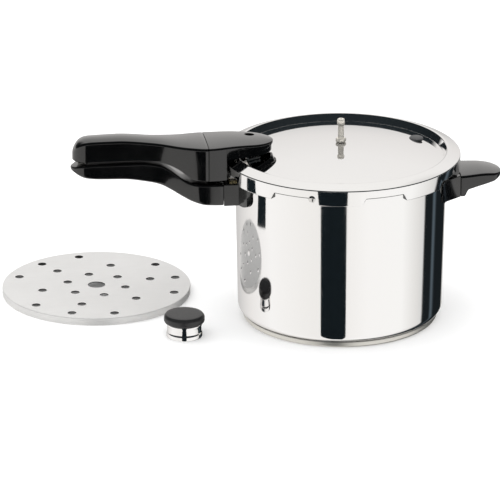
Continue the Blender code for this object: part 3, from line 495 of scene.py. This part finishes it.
def cover_profile(phi):
    """One pressed sheet: dome, sunk floor, ridge, outer slope, skirt with rolled lip and inward lugs."""
    share = lug_share(phi, 360.0 / LUG_COUNT - COVER_NOTCH_DEG, 2.4)
    skirt_z = COVER_NOTCH_Z + (COVER_SKIRT_Z - COVER_NOTCH_Z) * share
    lug_r = (COVER_R - COVER_SHEET - 0.4) + (COVER_LUG_R - COVER_R + COVER_SHEET + 0.4) * share
    dome = [(r, dome_z(r)) for r in spaced(3.4, FLOOR_R - 5.0, 26)]
    bend = [(FLOOR_R - 0.2, FLOOR_Z - 0.1), (RIDGE_R - 1.3, RIDGE_Z - 0.45), (RIDGE_R + 0.4, RIDGE_Z),
            (COVER_R - 0.6, COVER_EDGE_Z), (COVER_R, COVER_EDGE_Z - 0.5), (COVER_R, skirt_z)]
    outer = rounded([dome[-1]] + bend, [0.15, 0.9, 1.2, 0.4, 0.4], 7)[1:-1]
    lip = [(COVER_R, skirt_z + HEM), (COVER_R - 0.1, skirt_z + 0.4), (COVER_R - 0.4, skirt_z + 0.1),
           (COVER_R - 1.0, skirt_z), (lug_r + 0.3, skirt_z), (lug_r, skirt_z + 0.3), (lug_r, skirt_z + 0.9),
           (lug_r + 0.3, skirt_z + COVER_SHEET), (COVER_R - COVER_SHEET - 0.1, skirt_z + COVER_SHEET + 0.3)]
    inside = [(COVER_R - COVER_SHEET, COVER_EDGE_Z - 2.2), (RIDGE_R, RIDGE_Z - COVER_SHEET),
              (RIDGE_R - 1.6, RIDGE_Z - 1.3 - COVER_SHEET), (FLOOR_R + 0.8, FLOOR_Z - COVER_SHEET)]
    under = [(r, dome_z(r) - COVER_SHEET) for r in spaced(FLOOR_R - 3.0, 3.4, 10)]
    return dome + outer + lip + inside + under


def make_cover():
    steel = mirror_steel("cover_mirror_steel")
    mesh = lathe("cover", cover_profile, 360, ring=True)
    holes = rods_bm([upright_hole(PLUG_XY, 160.0, 185.0, 6.3), upright_hole(VENT_XY, 160.0, 185.0, 4.3)], 48)
    # the hem and underside get a dark grey material: painted shade for the dark line under the skirt
    add_piece("cover_sheet", cut(mesh, holes), steel, "cover", ("cover_lid",), 40.0,
              (shaded_underside("cover_underside_painted_shade", 0.16), is_shaded_hem))
    c, s = math.cos(math.radians(RIVET_POLAR)), math.sin(math.radians(RIVET_POLAR))
    head = [(0.0, 1.25), (1.4, 1.15), (2.6, 0.75), (3.2, 0.2), (3.3, 0.0), (1.3, 0.0), (1.3, -1.6),
            (0.0, -1.6)]
    rivet = lathe("stop_rivet", head, 40)
    turn = Vector((c, s, 0.0)).to_track_quat("Z", "Y").to_matrix().to_4x4()
    rivet.transform(Matrix.Translation((mm((COVER_R + 0.3) * c), mm((COVER_R + 0.3) * s),
                                        mm(RIVET_Z))) @ turn)
    add_piece("stop_rivet", rivet, satin_steel("rivet_steel", (0.80, 0.79, 0.77)), "cover",
              ("cover_stop_rivet",))


def make_cover_fittings():
    top = dome_z(0.0) + GAP
    pipe = rounded([(0.9, top + 22.0), (0.9, top + 24.0), (3.4, top + 23.6), (3.95, top + 20.6),
                    (3.8, top + 18.4),
                    (3.0, top + 17.2), (2.95, top + 15.0), (2.95, top - 3.0), (5.0, top - 3.3),
                    (5.0, top - 4.2),
                    (0.9, top - 4.2)], 1.0, 5)
    nickel = satin_steel("vent_nickel", (0.93, 0.89, 0.81), rough=(0.22, 0.32))
    nickel.node_tree.nodes["Principled BSDF"].inputs["Metallic"].default_value = 0.6
    add_piece("vent_pipe_fine", lathe("vent_pipe", pipe, 64, ring=True), nickel, "cover",
              ("vent_pipe",))
    add_piece("vent_nut_fine", hex_nut("vent_nut", (0.0, 0.0), top + 0.05, 4.0, 4.5, 3.02), nickel,
              "cover",
              ("vent_pipe_nut",), 25.0)
    z = dome_z(math.hypot(*PLUG_XY))
    plug = rounded([(0.0, z + 3.4), (4.6, z + 3.0), (6.9, z + 1.9), (7.1, z + 0.6), (5.9, z + 0.5),
                    (5.9, z - 3.2),
                    (4.6, z - 4.4), (0.0, z - 4.4)], 1.0, 5)
    add_piece("pressure_plug", lathe("plug", plug, 64, PLUG_XY), rubber("plug_rubber", 0.055, 0.10),
              "cover",
              ("overpressure_plug",))
    for node, low, high in (("sealing_ring", 0.05, 0.09), ("air_vent_gasket", 0.03, 0.06)):
        bpy.data.objects[node].data.materials[0] = rubber(node + "_rubber", low, high)


def hex_nut(name, centre, low, height, flats_r, bore_r):
    """A hexagon nut with chamfered corners and a bore."""
    def profile(phi):
        away = abs((math.degrees(phi) + 30.0) % 60.0 - 30.0)
        hexagon = flats_r / math.cos(math.radians(30.0 - away))
        face = min(hexagon, flats_r + 0.25)
        return [(bore_r, low + height), (face - 0.3, low + height), (hexagon, low + height - 0.8),
                (hexagon, low + 0.6), (face - 0.3, low), (bore_r, low)]

    return lathe(name, profile, 72, centre, ring=True)


# ---------------------------------------------------------------- handles
COVER_WIDTH = [(67.5, 20.3), (90.0, 22.0), (107.0, 24.6), (130.0, 27.2), (137.0, 27.4), (143.0, 26.4),
               (154.0, 23.4),
               (185.0, 15.0), (192.0, 14.2), (224.0, 13.4), (252.0, 12.6), (265.0, 12.0)]
COVER_TOP = [(67.5, 187.4), (107.0, 188.7), (131.0, 188.1), (154.0, 188.8), (185.0, 192.2), (222.0, 195.6),
             (246.0, 195.4), (258.0, 193.9), (265.0, 190.8)]
COVER_GRIP_LOW = [(134.0, 153.2), (147.0, 154.0), (154.0, 158.0), (162.0, 164.0), (171.0, 168.4),
                  (181.0, 171.2),
                  (200.0, 172.6), (265.0, 172.8)]
NOSE_LOW = [(67.5, 175.2), (90.0, 174.3), (116.0, 173.7)]
NOSE_EDGE = [(67.5, 182.6), (76.0, 180.4), (90.0, 177.6), (104.0, 174.8), (116.0, 173.7)]
BODY_WIDTH = [(119.0, 25.8), (135.0, 25.6), (142.0, 24.8), (150.0, 22.4), (180.0, 14.6), (188.0, 13.8),
              (224.0, 13.2),
              (252.0, 12.4), (266.8, 11.8)]
BODY_TOP = [(119.0, 149.0), (146.0, 149.4), (152.0, 150.8), (158.0, 153.8), (165.0, 159.2), (172.0, 164.2),
            (180.0, 167.8), (200.0, 170.4), (240.0, 170.4), (258.0, 169.6), (266.8, 167.6)]
BODY_LOW = [(119.0, 126.8), (135.0, 127.4), (148.0, 130.6), (160.0, 136.6), (170.0, 142.6), (180.0, 147.6),
            (192.0, 150.6), (215.0, 154.2), (240.0, 155.0), (250.0, 156.0), (258.0, 158.2), (266.8, 162.0)]
HELPER_WIDTH = [(115.0, 24.6), (138.0, 21.6), (160.0, 18.0)]
HELPER_TOP = [(115.0, 146.8), (138.0, 147.2), (160.0, 145.4)]
HELPER_LOW = [(115.0, 124.4), (120.5, 124.4), (121.6, 126.6), (123.6, 130.6), (129.0, 132.2), (150.0, 137.0),
              (160.0, 140.4)]


def nose_mesh(name, inset=0.0, floor=None, roof_drop=0.0, end=COVER_SEAM_R - GAP / 2, edge=NOSE_EDGE,
              round_end=True):
    """The nose over the cover's rim; an inset copy of it is the hollow inside."""
    tip, tip_len = NOSE_TIP_R + inset, 24.0
    near = [tip + tip_len - tip_len * math.sin(math.radians(90.0 * i / 14)) for i in range(14, 0, -1)]
    r_values = near + spaced(tip + tip_len, 116.2, 10)
    if end > 118.5:
        r_values += [116.45] + spaced(118.0, end - 0.5, 7)
        r_values += [end - 0.15, end] if round_end else [end]
    stations = []
    for r in r_values:
        inside = max(0.0, 1.0 - (r - tip) / tip_len)
        s = math.sqrt(max(1.0 - inside ** 2, 0.001))
        half = (smooth_value(COVER_WIDTH, r) - inset) * s
        bottom = COVER_GRIP_LOW[0][1] if r > 116.4 else smooth_value(edge, r)
        bottom = bottom if floor is None else floor
        high = smooth_value(COVER_TOP, r) - roof_drop - 2.2 * (1.0 - s)
        shrink = 0.5 if (round_end and r == end) else 0.0
        crown = 1.2 * s if floor is None else 0.2
        stations.append((r, section(half - shrink, bottom + 0.5 * (1.0 - s) + shrink, high - shrink, 2.2,
                                    0.9, crown,
                                    0.6 if floor is None else 0.0)))
    return loft(name, stations, -1.0)


def bm_of(mesh):
    bm = bmesh.new()
    bm.from_mesh(mesh)
    return bm


def pivot_hole(reach):
    return ((PIVOT[0], -reach, PIVOT[1]), (PIVOT[0], reach, PIVOT[1]), PIVOT_HOLE_R)


def upright_hole(place, low, high, radius):
    return ((*place, low), (*place, high), radius)


def strap_slot():
    return box_bm((-152.0, -126.0), (-14.4, 0.4), (173.2, 175.8))


def make_cover_handle():
    black = phenolic("cover_handle_phenolic")
    skirt = rods_bm([((0.0, 0.0, 140.0), (0.0, 0.0, 173.2), COVER_R + 0.7)], 240)
    hollow = bm_of(nose_mesh("nose_hollow", 3.0, 161.0, 3.4, COVER_SEAM_R - 2.6, NOSE_LOW, False))
    holes = rods_bm([upright_hole(VENT_XY, 180.0, 192.0, VENT_MOUTH_R),
                     upright_hole(LOCK_XY, 150.0, 164.0, 2.1),
                     pivot_hole(21.5)])
    counterbore = rods_bm([upright_hole(FRONT_SCREW, 150.0, 157.2, COUNTERBORE_R)])
    shank = rods_bm([upright_hole(FRONT_SCREW, 156.7, 164.0, SCREW_HOLE_R)])
    nose = cut(nose_mesh("nose"), skirt.copy(), hollow.copy(), holes, counterbore, shank, strap_slot())
    add_piece("cover_nose_shell", nose, black, "cover", ("cover_handle_nose",), 28.0)
    lip = cut(nose_mesh("nose_lip", 1.3, None, 3.0, 116.2, NOSE_LOW, False), skirt.copy(), hollow.copy(),
              rods_bm([pivot_hole(30.0)]))
    add_piece("cover_nose_lip", lip, black, "cover", (), 28.0)
    grip = handle_mesh("cover_grip", COVER_SEAM_R + GAP / 2, COVER_TIP_R, 14.0,
                       (COVER_WIDTH, COVER_TOP, COVER_GRIP_LOW),
                       -1.0, 0.12, 2.6, 1.6, 1.2, 0.6)
    bores = rods_bm([upright_hole(REAR_SCREW, 148.0, 158.0, COUNTERBORE_R)])
    deep = rods_bm([upright_hole(REAR_SCREW, 157.5, 182.0, SCREW_HOLE_R)])
    add_piece("cover_grip_shell", cut(grip, bores, deep, strap_slot()), black, "cover",
              ("cover_handle_grip",), 28.0)


BODY_FACETS = [(104.9, 25.9), (98.9, 38.2), (94.3, 45.2)]
HELPER_FACETS = [(99.3, 37.1), (92.5, 48.5)]


def wrap_plan(seam, seam_half, facets, sign):
    """Plan of a collar: straight at the seam, then facets that wrap round the pot's wall."""
    outer = [(seam, seam_half)] + facets + [(80.0, facets[-1][1])]
    return [(sign * x, y) for x, y in outer] + [(sign * x, -y) for x, y in reversed(outer)]


def collar_mesh(name, plan, low, high, wing, half):
    """Extrudes the plan, rounds the lower ends of its wings and hollows it to fit the pot's wall."""
    bm = bmesh.new()
    face = bm.faces.new([bm.verts.new((mm(x), mm(y), mm(low))) for x, y in plan])
    lifted = bmesh.ops.extrude_face_region(bm, geom=[face])["geom"]
    moved = [v for v in lifted if isinstance(v, bmesh.types.BMVert)]
    bmesh.ops.translate(bm, verts=moved, vec=(0.0, 0.0, mm(high - low)))
    bmesh.ops.recalc_face_normals(bm, faces=bm.faces)
    rim = [e for e in bm.edges if abs(e.verts[0].co.z - e.verts[1].co.z) < 1e-6]
    bmesh.ops.bevel(bm, geom=rim, offset=mm(0.8), segments=3, profile=0.5, affect="EDGES")
    mesh = to_mesh(bm, name)
    pot = rods_bm([((0.0, 0.0, 100.0), (0.0, 0.0, 180.0), POT_R_TOP + 0.4)], 240)
    tools = [pot]
    across, rise = wing
    for sign in (-1.0, 1.0):
        corner = bmesh.new()
        outline = [(sign * (half + 6.0), low - 6.0), (sign * (half - across), low - 6.0)]
        outline += [(sign * (half - across + across * math.sin(math.radians(a))),
                     low + rise - rise * math.cos(math.radians(a))) for a in spaced(0.0, 90.0, 12)]
        outline.append((sign * (half + 6.0), low + rise))
        verts = [corner.verts.new((mm(-130.0), mm(y), mm(z))) for y, z in outline]
        lifted = bmesh.ops.extrude_face_region(corner, geom=[corner.faces.new(verts)])["geom"]
        ends = [v for v in lifted if isinstance(v, bmesh.types.BMVert)]
        bmesh.ops.translate(corner, verts=ends, vec=(mm(260.0), 0.0, 0.0))
        bmesh.ops.recalc_face_normals(corner, faces=corner.faces)
        tools.append(corner)
    return cut(mesh, *tools)


def make_body_handle():
    black = phenolic("body_handle_phenolic")
    grip = handle_mesh("body_grip", BODY_SEAM_R + GAP / 2, BODY_TIP_R, 14.0,
                       (BODY_WIDTH, BODY_TOP, BODY_LOW), -1.0,
                       0.85, 1.8, 3.4, 0.3, 0.5)
    x, y = LOCK_XY
    tongue = box_bm((-151.5, -112.0), (-8.4, 8.4), (137.1, 140.9))
    lock_slot = box_bm((x - 3.2, x + 3.2), (y - 4.5, y + 4.5), (144.6, 154.0))
    counterbore = rods_bm([upright_hole(BODY_SCREW, 122.0, 133.2, COUNTERBORE_R)])
    shank = rods_bm([upright_hole(BODY_SCREW, 132.7, 147.0, SCREW_HOLE_R)])
    hang = rods_bm([upright_hole((EYELET_X, 0.0), 150.0, 180.0, HANG_HOLE_R)])
    add_piece("body_grip_shell", cut(grip, tongue, lock_slot, counterbore, shank, hang), black, "pot",
              ("body_handle_grip",), 28.0)
    collar = collar_mesh("body_collar", wrap_plan(BODY_SEAM_R - GAP / 2, 25.8, BODY_FACETS, -1.0),
                         *BODY_COLLAR_Z,
                         (17.5, 13.0), 45.3)
    channel = box_bm((-122.0, -100.0), (-8.4, 8.4), (137.1, 140.9))
    pocket = box_bm((-107.0, -96.0), (-12.6, 12.6), (130.4, 146.6))
    spring = box_bm((-115.0, -98.0), (-23.2, -13.2), (143.6, 154.0))
    add_piece("body_collar_shell", cut(collar, channel, pocket, spring), black, "pot",
              ("body_handle_collar",), 28.0)
    top = EYELET_TOP_Z
    eyelet = rounded([(3.4, top - 0.3), (4.0, top), (5.4, top - 0.4), (5.4, top - 0.7), (3.95, top - 0.8),
                      (3.95, top - 12.0), (3.4, top - 12.0)], 0.3, 4)
    add_piece("eyelet_fine", lathe("eyelet", eyelet, 48, (EYELET_X, 0.0), True),
              satin_steel("eyelet_steel"), "pot",
              ("hanging_eyelet",))


def make_helper():
    black = phenolic("helper_phenolic")
    collar = collar_mesh("helper_collar_mesh", wrap_plan(HELPER_SEAM_R - GAP / 2, 24.6, HELPER_FACETS,
                                                         1.0), *HELPER_COLLAR_Z,
                         (10.0, 9.0), 48.6)
    tongue = ((98.0, 144.4), (-8.4, 8.4), (135.9, 139.7))
    plate = box_bm((96.0, 107.0), (-12.6, 12.6), (127.0, 141.6))
    add_piece("helper_collar_shell", cut(collar, box_bm(*tongue), plate), black, "pot",
              ("helper_collar",), 28.0)
    handle = handle_mesh("helper_grip", HELPER_SEAM_R + GAP / 2, HELPER_TIP_R, 11.0,
                         (HELPER_WIDTH, HELPER_TOP, HELPER_LOW), 1.0, 0.25, 2.6, 1.2, 1.0, 0.4, 1.2)
    counterbore = rods_bm([upright_hole(HELPER_SCREW, 126.0, 135.0, 4.2)])
    shank = rods_bm([upright_hole(HELPER_SCREW, 134.5, 141.8, SCREW_HOLE_R)])
    add_piece("helper_shell", cut(handle, box_bm(*tongue), counterbore, shank), black, "pot",
              ("helper_handle",), 28.0)


# ---------------------------------------------------------------- pot
def pot_profile(phi):
    share = lug_share(phi, RIM_LUG_DEG, 2.0)
    rim_r = RIM_GAP_R + (RIM_R - RIM_GAP_R) * share
    corner = (POT_R_LOW - POT_CORNER_R, POT_FLOOR_Z + POT_CORNER_R)
    inside = [(0.0, POT_FLOOR_Z + POT_WALL), (corner[0] * 0.5, POT_FLOOR_Z + POT_WALL)]
    inside += arc(*corner, POT_CORNER_R - POT_WALL, -90.0, 0.0, 12)
    inside += [(POT_R_TOP - POT_WALL, RIM_Z - 1.5), (POT_R_TOP - POT_WALL + 0.8, RIM_Z)]
    rim = [(POT_R_TOP + 2.6, RIM_Z), (POT_R_TOP + 3.2, RIM_Z - 0.5), (POT_R_TOP + 4.0, RIM_Z - 1.3),
           (rim_r - 0.6, RIM_Z - 1.3), (rim_r, RIM_Z - 1.8), (rim_r, RIM_FLANGE_Z + 0.5),
           (rim_r - 0.5, RIM_FLANGE_Z),
           (POT_R_TOP + 0.8, RIM_FLANGE_Z), (POT_R_TOP, RIM_FLANGE_Z - 0.9)]
    wall = [(POT_R_TOP + (POT_R_LOW - POT_R_TOP) * t, 155.0 + (corner[1] - 155.0) * t) for t in spaced(0.0,
                                                                                                       1.0,
                                                                                                       16)]
    outside = arc(*corner, POT_CORNER_R, 0.0, -90.0, 16)[1:]
    return inside + rim + wall + outside + [(corner[0] * 0.5, POT_FLOOR_Z), (0.0, POT_FLOOR_Z)]


def make_pot():
    add_piece("pot_shell", lathe("pot", pot_profile, 288), mirror_steel("pot_mirror_steel"), "pot",
              ("body_pot",), 40.0)
    top, wall = POT_FLOOR_Z - GAP, 0.8
    cap = rounded([(0.0, wall), (BASE_R - wall, wall), (BASE_R - wall, top - 0.1), (BASE_R - 0.3, top),
                   (BASE_R, top - 0.4),
                   (BASE_R, 1.5), (BASE_R - 1.3, 0.0), (0.0, 0.0)], 0.5, 4)
    add_piece("base_cap_fine", lathe("base_cap_mesh", cap, 240),
              mirror_steel("cap_steel", tint=(0.74, 0.72, 0.67), rough=(0.34, 0.44), spin=0.03), "pot",
              ("base_cap",), 40.0)
    core = bpy.data.objects["base_core_disc"]
    core.data.materials[0] = rack_aluminium("core_aluminium")
    for node in ("body_handle_bracket", "helper_bracket", "body_handle_screw", "helper_screw",
                 "cover_handle_bracket",
                 "cover_handle_nut", "cover_handle_screw_front", "cover_handle_screw_rear", "lever_pivot_pin",
                 "air_vent_plunger", "interlock_lever", "lock_pin"):
        bpy.data.objects[node].data.materials[0] = satin_steel(node + "_finish")


def make_spring():
    """The small brass coil between the handles, as a fine helix."""
    turns, per_turn, sides, coil_r, wire_r = 5, 24, 10, 4.0, 0.42
    start_x, centre_y, centre_z = SPRING_START
    count = turns * per_turn + 1
    bm = bmesh.new()
    rings = []
    for i in range(count):
        a = 2 * math.pi * i / per_turn
        out = Vector((0.0, math.cos(a), math.sin(a)))
        along = Vector((SPRING_LENGTH / (count - 1) * per_turn / (2 * math.pi), -coil_r * math.sin(a),
                        coil_r * math.cos(a)))
        side = along.normalized().cross(out)
        middle = Vector((start_x + SPRING_LENGTH * i / (count - 1), centre_y + coil_r * math.cos(a),
                         centre_z + coil_r * math.sin(a)))
        ring = []
        for k in range(sides):
            b = 2 * math.pi * k / sides
            ring.append(bm.verts.new((middle + (out * math.cos(b) + side * math.sin(b)) * wire_r) * 0.001))
        rings.append(ring)
    for ring, after in zip(rings, rings[1:]):
        for k in range(sides):
            n = (k + 1) % sides
            bm.faces.new((ring[k], ring[n], after[n], after[k]))
    bm.faces.new(rings[0])
    bm.faces.new(rings[-1])
    add_piece("collar_spring_fine", to_mesh(bm, "collar_spring_fine"), spring_brass("spring_brass"), "pot",
              ("collar_spring",), 50.0)


# ---------------------------------------------------------------- accessories
def under_rack_painted_shade(face):
    """True under the rack's plate, on the inside of its rim and in its holes, where a near-black painted
    shade goes.
    """
    x, y, z = (c * 1000.0 for c in face.center)
    radius = math.hypot(x - RACK_XY[0], y - RACK_XY[1])
    return z < RACK_H - 0.5 and radius < RACK_R - 1.2


def make_rack():
    r, t = RACK_R, 1.2
    profile = rounded([(8.7, RACK_H - 0.2), (9.4, RACK_H), (r - 0.2, RACK_H), (r, RACK_H - 1.8),
                       (r - 0.7, RACK_H - 2.2),
                       (r - 0.3, RACK_H - 4.4), (r - 0.8, RACK_H - 4.8), (r - 0.2, 0.6), (r - 0.6, 0.0),
                       (r - 1.3, 0.0), (r - 1.3, RACK_H - t - 0.4), (r - 2.0, RACK_H - t), (8.7, RACK_H - t)],
                      [0.3, 0.7, 0.2, 0.2, 0.2, 0.2, 0.3, 0.2, 0.2, 0.3, 0.4], 4)
    mesh = lathe("rack", profile, 240, RACK_XY, True)
    places = [(30.0, 38.6 + 60.0 * i) for i in range(6)] + [(56.0, 8.8 + 60.0 * i) for i in range(6)]
    places += [(81.5, 6.5 + 120.0 * group + 30.0 * k) for group in range(3) for k in (-1, 0, 1)]
    rods = []
    for radius, degrees in places:
        x = RACK_XY[0] + radius * math.cos(math.radians(degrees))
        y = RACK_XY[1] + radius * math.sin(math.radians(degrees))
        rods.append(upright_hole((x, y), 4.0, 12.0, RACK_HOLE_R))
    # the underside is near-black: painted shade under the plate and inside the holes
    add_piece("rack_fine", cut(mesh, rods_bm(rods, 36)), rack_aluminium("rack_aluminium"), "rack",
              ("cooking_rack",), 40.0, (shaded_underside("rack_underside_painted_shade", 0.05), under_rack_painted_shade))


def make_regulator():
    body = rounded([(0.0, 14.6), (16.4, 14.6), (17.3, 13.8), (17.3, 12.0), (16.9, 10.8), (16.9, 5.6),
                    (17.6, 4.2),
                    (17.8, 2.8), (17.8, 0.7), (17.2, 0.0), (4.6, 0.0), (4.6, 10.0), (0.0, 12.0)], 0.6, 4)
    add_piece("regulator_body", lathe("regulator_mesh", body, 120, REGULATOR_XY),
              mirror_steel("regulator_steel", REGULATOR_XY), "regulator",
              ("regulator_weight",), 40.0)
    cap = rounded([(0.0, 23.4), (15.0, 23.3), (18.3, 23.1), (20.0, 20.6), (20.0, 16.4), (19.2, 14.9),
                   (0.0, 14.9)],
                  [0.5, 0.8, 0.7, 0.7, 0.5], 5)
    add_piece("regulator_cap_fine", lathe("regulator_cap_mesh", cap, 120, REGULATOR_XY), cap_phenolic(),
              "regulator", ("regulator_cap",), 40.0)


# ---------------------------------------------------------------- studio
def make_floor():
    mesh = bpy.data.meshes.new("studio_floor")
    reach = 14.0
    mesh.from_pydata([(-reach, -reach, 0.0), (reach, -reach, 0.0), (reach, reach, 0.0),
                      (-reach, reach, 0.0)], [],
                     [(0, 1, 2, 3)])
    n = Nodes("studio_paper")
    paper = n.noise(n.coords(), 40.0, 3.0)
    n.link(n.blend_colour(paper, (0.90, 0.90, 0.90), (0.92, 0.92, 0.92)), n.shader.inputs["Base Color"])
    n.shader.inputs["Roughness"].default_value = 0.9
    n.shader.inputs["Specular IOR Level"].default_value = 0.1
    n.shader.inputs["Emission Color"].default_value = (1.0, 0.995, 0.985, 1.0)
    n.shader.inputs["Emission Strength"].default_value = PAPER_GLOW
    mesh.materials.append(n.mat)
    floor = bpy.data.objects.new("studio_floor", mesh)
    bpy.context.scene.collection.objects.link(floor)
    floor.visible_glossy = False


def flag(name, across, up, away, mat):
    """A black studio flag, seen only in reflections: (left, right), (low, high) and distance in front."""
    u, w = view_axes()
    corners = [u * x - w * away + Vector((0.0, 0.0, z)) for x, z in
               ((across[0], up[0]), (across[1], up[0]), (across[1], up[1]), (across[0], up[1]))]
    mesh = bpy.data.meshes.new(name)
    mesh.from_pydata(corners, [], [(0, 1, 2, 3)])
    mesh.materials.append(mat)
    card = bpy.data.objects.new(name, mesh)
    bpy.context.scene.collection.objects.link(card)
    card.visible_camera = card.visible_diffuse = card.visible_shadow = False


def left_strip(mat):
    """A dark strip lying on the floor to the left, outside the view; only polished metal sees it."""
    u, w = view_axes()
    corners = [u * x + w * y + Vector((0.0, 0.0, 0.001)) for x, y in
               ((-0.62, -0.078), (-0.358, -0.062), (-0.358, 0.014), (-0.62, 0.04))]
    mesh = bpy.data.meshes.new("left_strip")
    mesh.from_pydata(corners, [], [(0, 1, 2, 3)])
    mesh.materials.append(mat)
    strip = bpy.data.objects.new("left_strip", mesh)
    bpy.context.scene.collection.objects.link(strip)
    strip.visible_camera = strip.visible_diffuse = strip.visible_shadow = False


def view_axes():
    """Unit vectors across the view and away from the camera, level with the floor."""
    a = math.radians(YAW_DEG)
    return Vector((math.cos(a), -math.sin(a), 0.0)), Vector((math.sin(a), math.cos(a), 0.0))


class SkyNodes:
    """Short names for building the world's node tree."""

    def __init__(self):
        self.world = bpy.data.worlds.new("studio_world")
        self.world.use_nodes = True
        self.tree = self.world.node_tree
        self.tree.nodes.clear()
        self.direction = self.add("ShaderNodeTexCoord").outputs["Generated"]

    def add(self, kind, **settings):
        made = self.tree.nodes.new(kind)
        for key, value in settings.items():
            setattr(made, key, value)
        return made

    def link(self, source, target):
        self.tree.links.new(source, target)

    def ramp(self, value, stops):
        """A colour band through (place, colour) stops."""
        made = self.add("ShaderNodeValToRGB")
        made.color_ramp.interpolation = "LINEAR"
        band = made.color_ramp.elements
        band[0].position, band[0].color = stops[0][0], (*stops[0][1], 1.0)
        band[1].position, band[1].color = stops[-1][0], (*stops[-1][1], 1.0)
        for place, colour in stops[1:-1]:
            band.new(place).color = (*colour, 1.0)
        self.link(value, made.inputs["Fac"])
        return made.outputs["Color"]

    def math(self, operation, first, second):
        made = self.add("ShaderNodeMath", operation=operation)
        for socket, value in zip(made.inputs, (first, second)):
            if isinstance(value, float):
                socket.default_value = value
            else:
                self.link(value, socket)
        return made.outputs["Value"]

    def dot(self, axis):
        made = self.add("ShaderNodeVectorMath", operation="DOT_PRODUCT")
        self.link(self.direction, made.inputs[0])
        made.inputs[1].default_value = axis
        return made.outputs["Value"]

    def mix(self, factor, first, second):
        made = self.add("ShaderNodeMix", data_type="RGBA")
        self.link(factor, made.inputs[0])
        for socket, value in ((made.inputs[6], first), (made.inputs[7], second)):
            if isinstance(value, tuple):
                socket.default_value = (*value, 1.0)
            else:
                self.link(value, socket)
        return made.outputs[2]


def at(degrees):
    """A bearing from the camera's side, as a place on a ramp."""
    return degrees / 360.0 + 0.5


def studio_seen(sky):
    """What metal and gloss see: a pale floor line, dark sides and a light wall behind the object."""
    u, w = view_axes()
    azimuth = sky.math("ARCTAN2", sky.dot(u), sky.dot(-w))
    turn = sky.math("ADD", sky.math("MULTIPLY", azimuth, 0.5 / math.pi), 0.5)
    height = sky.math("ADD", sky.math("MULTIPLY", sky.dot(Vector((0.0, 0.0, 1.0))), 0.5), 0.5)
    white, cream, grey = (1.0, 0.99, 0.975), (0.93, 0.915, 0.89), (0.62, 0.61, 0.60)
    slate, streak = (0.010, 0.013, 0.015), (0.085, 0.11, 0.13)
    off, full = (0.0, 0.0, 0.0), (1.0, 1.0, 1.0)
    low = sky.ramp(turn, [(0.0, grey), (at(-160), grey), (at(-120), (0.88, 0.86, 0.84)), (at(-85), white),
                          (at(-30), cream), (at(0), cream), (at(30), white), (at(72), (1.0, 0.995, 0.98)),
                          (at(96), (0.80, 0.79, 0.77)), (at(104), (0.72, 0.72, 0.71)), (at(106), slate),
                          (at(120), slate), (at(123), streak), (at(125), streak), (at(130), slate),
                          (at(160), slate), (at(163), grey), (1.0, grey)])
    far = sky.ramp(height, [(0.0, (0.5, 0.49, 0.48)), (0.44, (0.55, 0.54, 0.53)), (0.50, (0.70, 0.69, 0.68)),
                            (0.60, (0.82, 0.80, 0.785)), (0.75, (0.90, 0.885, 0.87)),
                            (0.945, (0.95, 0.94, 0.92)), (0.965, slate), (1.0, slate)])
    near = sky.ramp(height, [(0.0, white), (0.52, white), (0.55, slate), (1.0, (0.02, 0.026, 0.03))])
    facing = sky.ramp(turn, [(at(-156), off), (at(-142), full), (at(142), full), (at(156), off)])
    above = sky.ramp(height, [(0.485, off), (0.52, full)])
    return sky.mix(above, low, sky.mix(facing, far, near))


def make_world():
    """White light all round; only metal and gloss see the studio in it."""
    sky = SkyNodes()
    bpy.context.scene.world = sky.world
    glossy = sky.add("ShaderNodeLightPath").outputs["Is Glossy Ray"]
    colour = sky.mix(glossy, (1.0, 1.0, 1.0), studio_seen(sky))
    strength = sky.add("ShaderNodeMix", data_type="FLOAT")
    sky.link(glossy, strength.inputs[0])
    strength.inputs[2].default_value = ROOM_LIGHT
    strength.inputs[3].default_value = 1.0
    back = sky.add("ShaderNodeBackground")
    sky.link(colour, back.inputs["Color"])
    sky.link(strength.outputs[0], back.inputs["Strength"])
    sky.link(back.outputs["Background"], sky.add("ShaderNodeOutputWorld").inputs["Surface"])


def make_flags():
    n = Nodes("flag_black")
    n.shader.inputs["Base Color"].default_value = (0.006, 0.009, 0.011, 1.0)
    n.shader.inputs["Roughness"].default_value = 1.0
    n.shader.inputs["Specular IOR Level"].default_value = 0.0
    flag("front_flag", (-0.394, 0.094), (-4.0, 0.10), 1.0, n.mat)
    left_strip(n.mat)


def make_lamp():
    """A large soft box overhead, kept out of the mirror surfaces."""
    u, w = view_axes()
    data = bpy.data.lights.new("soft_box", "AREA")
    data.shape, data.size, data.size_y, data.energy = "RECTANGLE", 2.4, 1.8, LAMP_W
    lamp = bpy.data.objects.new("soft_box", data)
    lamp.location = u * -0.4 - w * 0.3 + Vector((0.0, 0.0, 2.2))
    lamp.rotation_mode = "QUATERNION"
    lamp.rotation_quaternion = (lamp.location - Vector((0.0, 0.0, 0.1))).to_track_quat("Z", "Y")
    lamp.visible_glossy = False
    bpy.context.scene.collection.objects.link(lamp)


def make_camera():
    u, w = view_axes()
    e = math.radians(ELEVATION_DEG)
    aim = u * AIM_ACROSS + Vector((0.0, 0.0, AIM_UP))
    back = -w * math.cos(e) + Vector((0.0, 0.0, math.sin(e)))
    data = bpy.data.cameras.new("photo_camera")
    data.lens, data.sensor_width = LENS_MM, 36.0
    data.clip_end = 50.0
    camera = bpy.data.objects.new("photo_camera", data)
    camera.location = aim + back * DISTANCE_M
    camera.rotation_mode = "QUATERNION"
    camera.rotation_quaternion = back.to_track_quat("Z", "Y")
    bpy.context.scene.collection.objects.link(camera)
    bpy.context.scene.camera = camera


make_camera()
make_world()
make_floor()
make_flags()
make_lamp()
bpy.context.scene.view_settings.view_transform = "Standard"
make_pot()
make_cover()
make_cover_fittings()
make_cover_handle()
make_body_handle()
make_helper()
make_spring()
make_rack()
make_regulator()
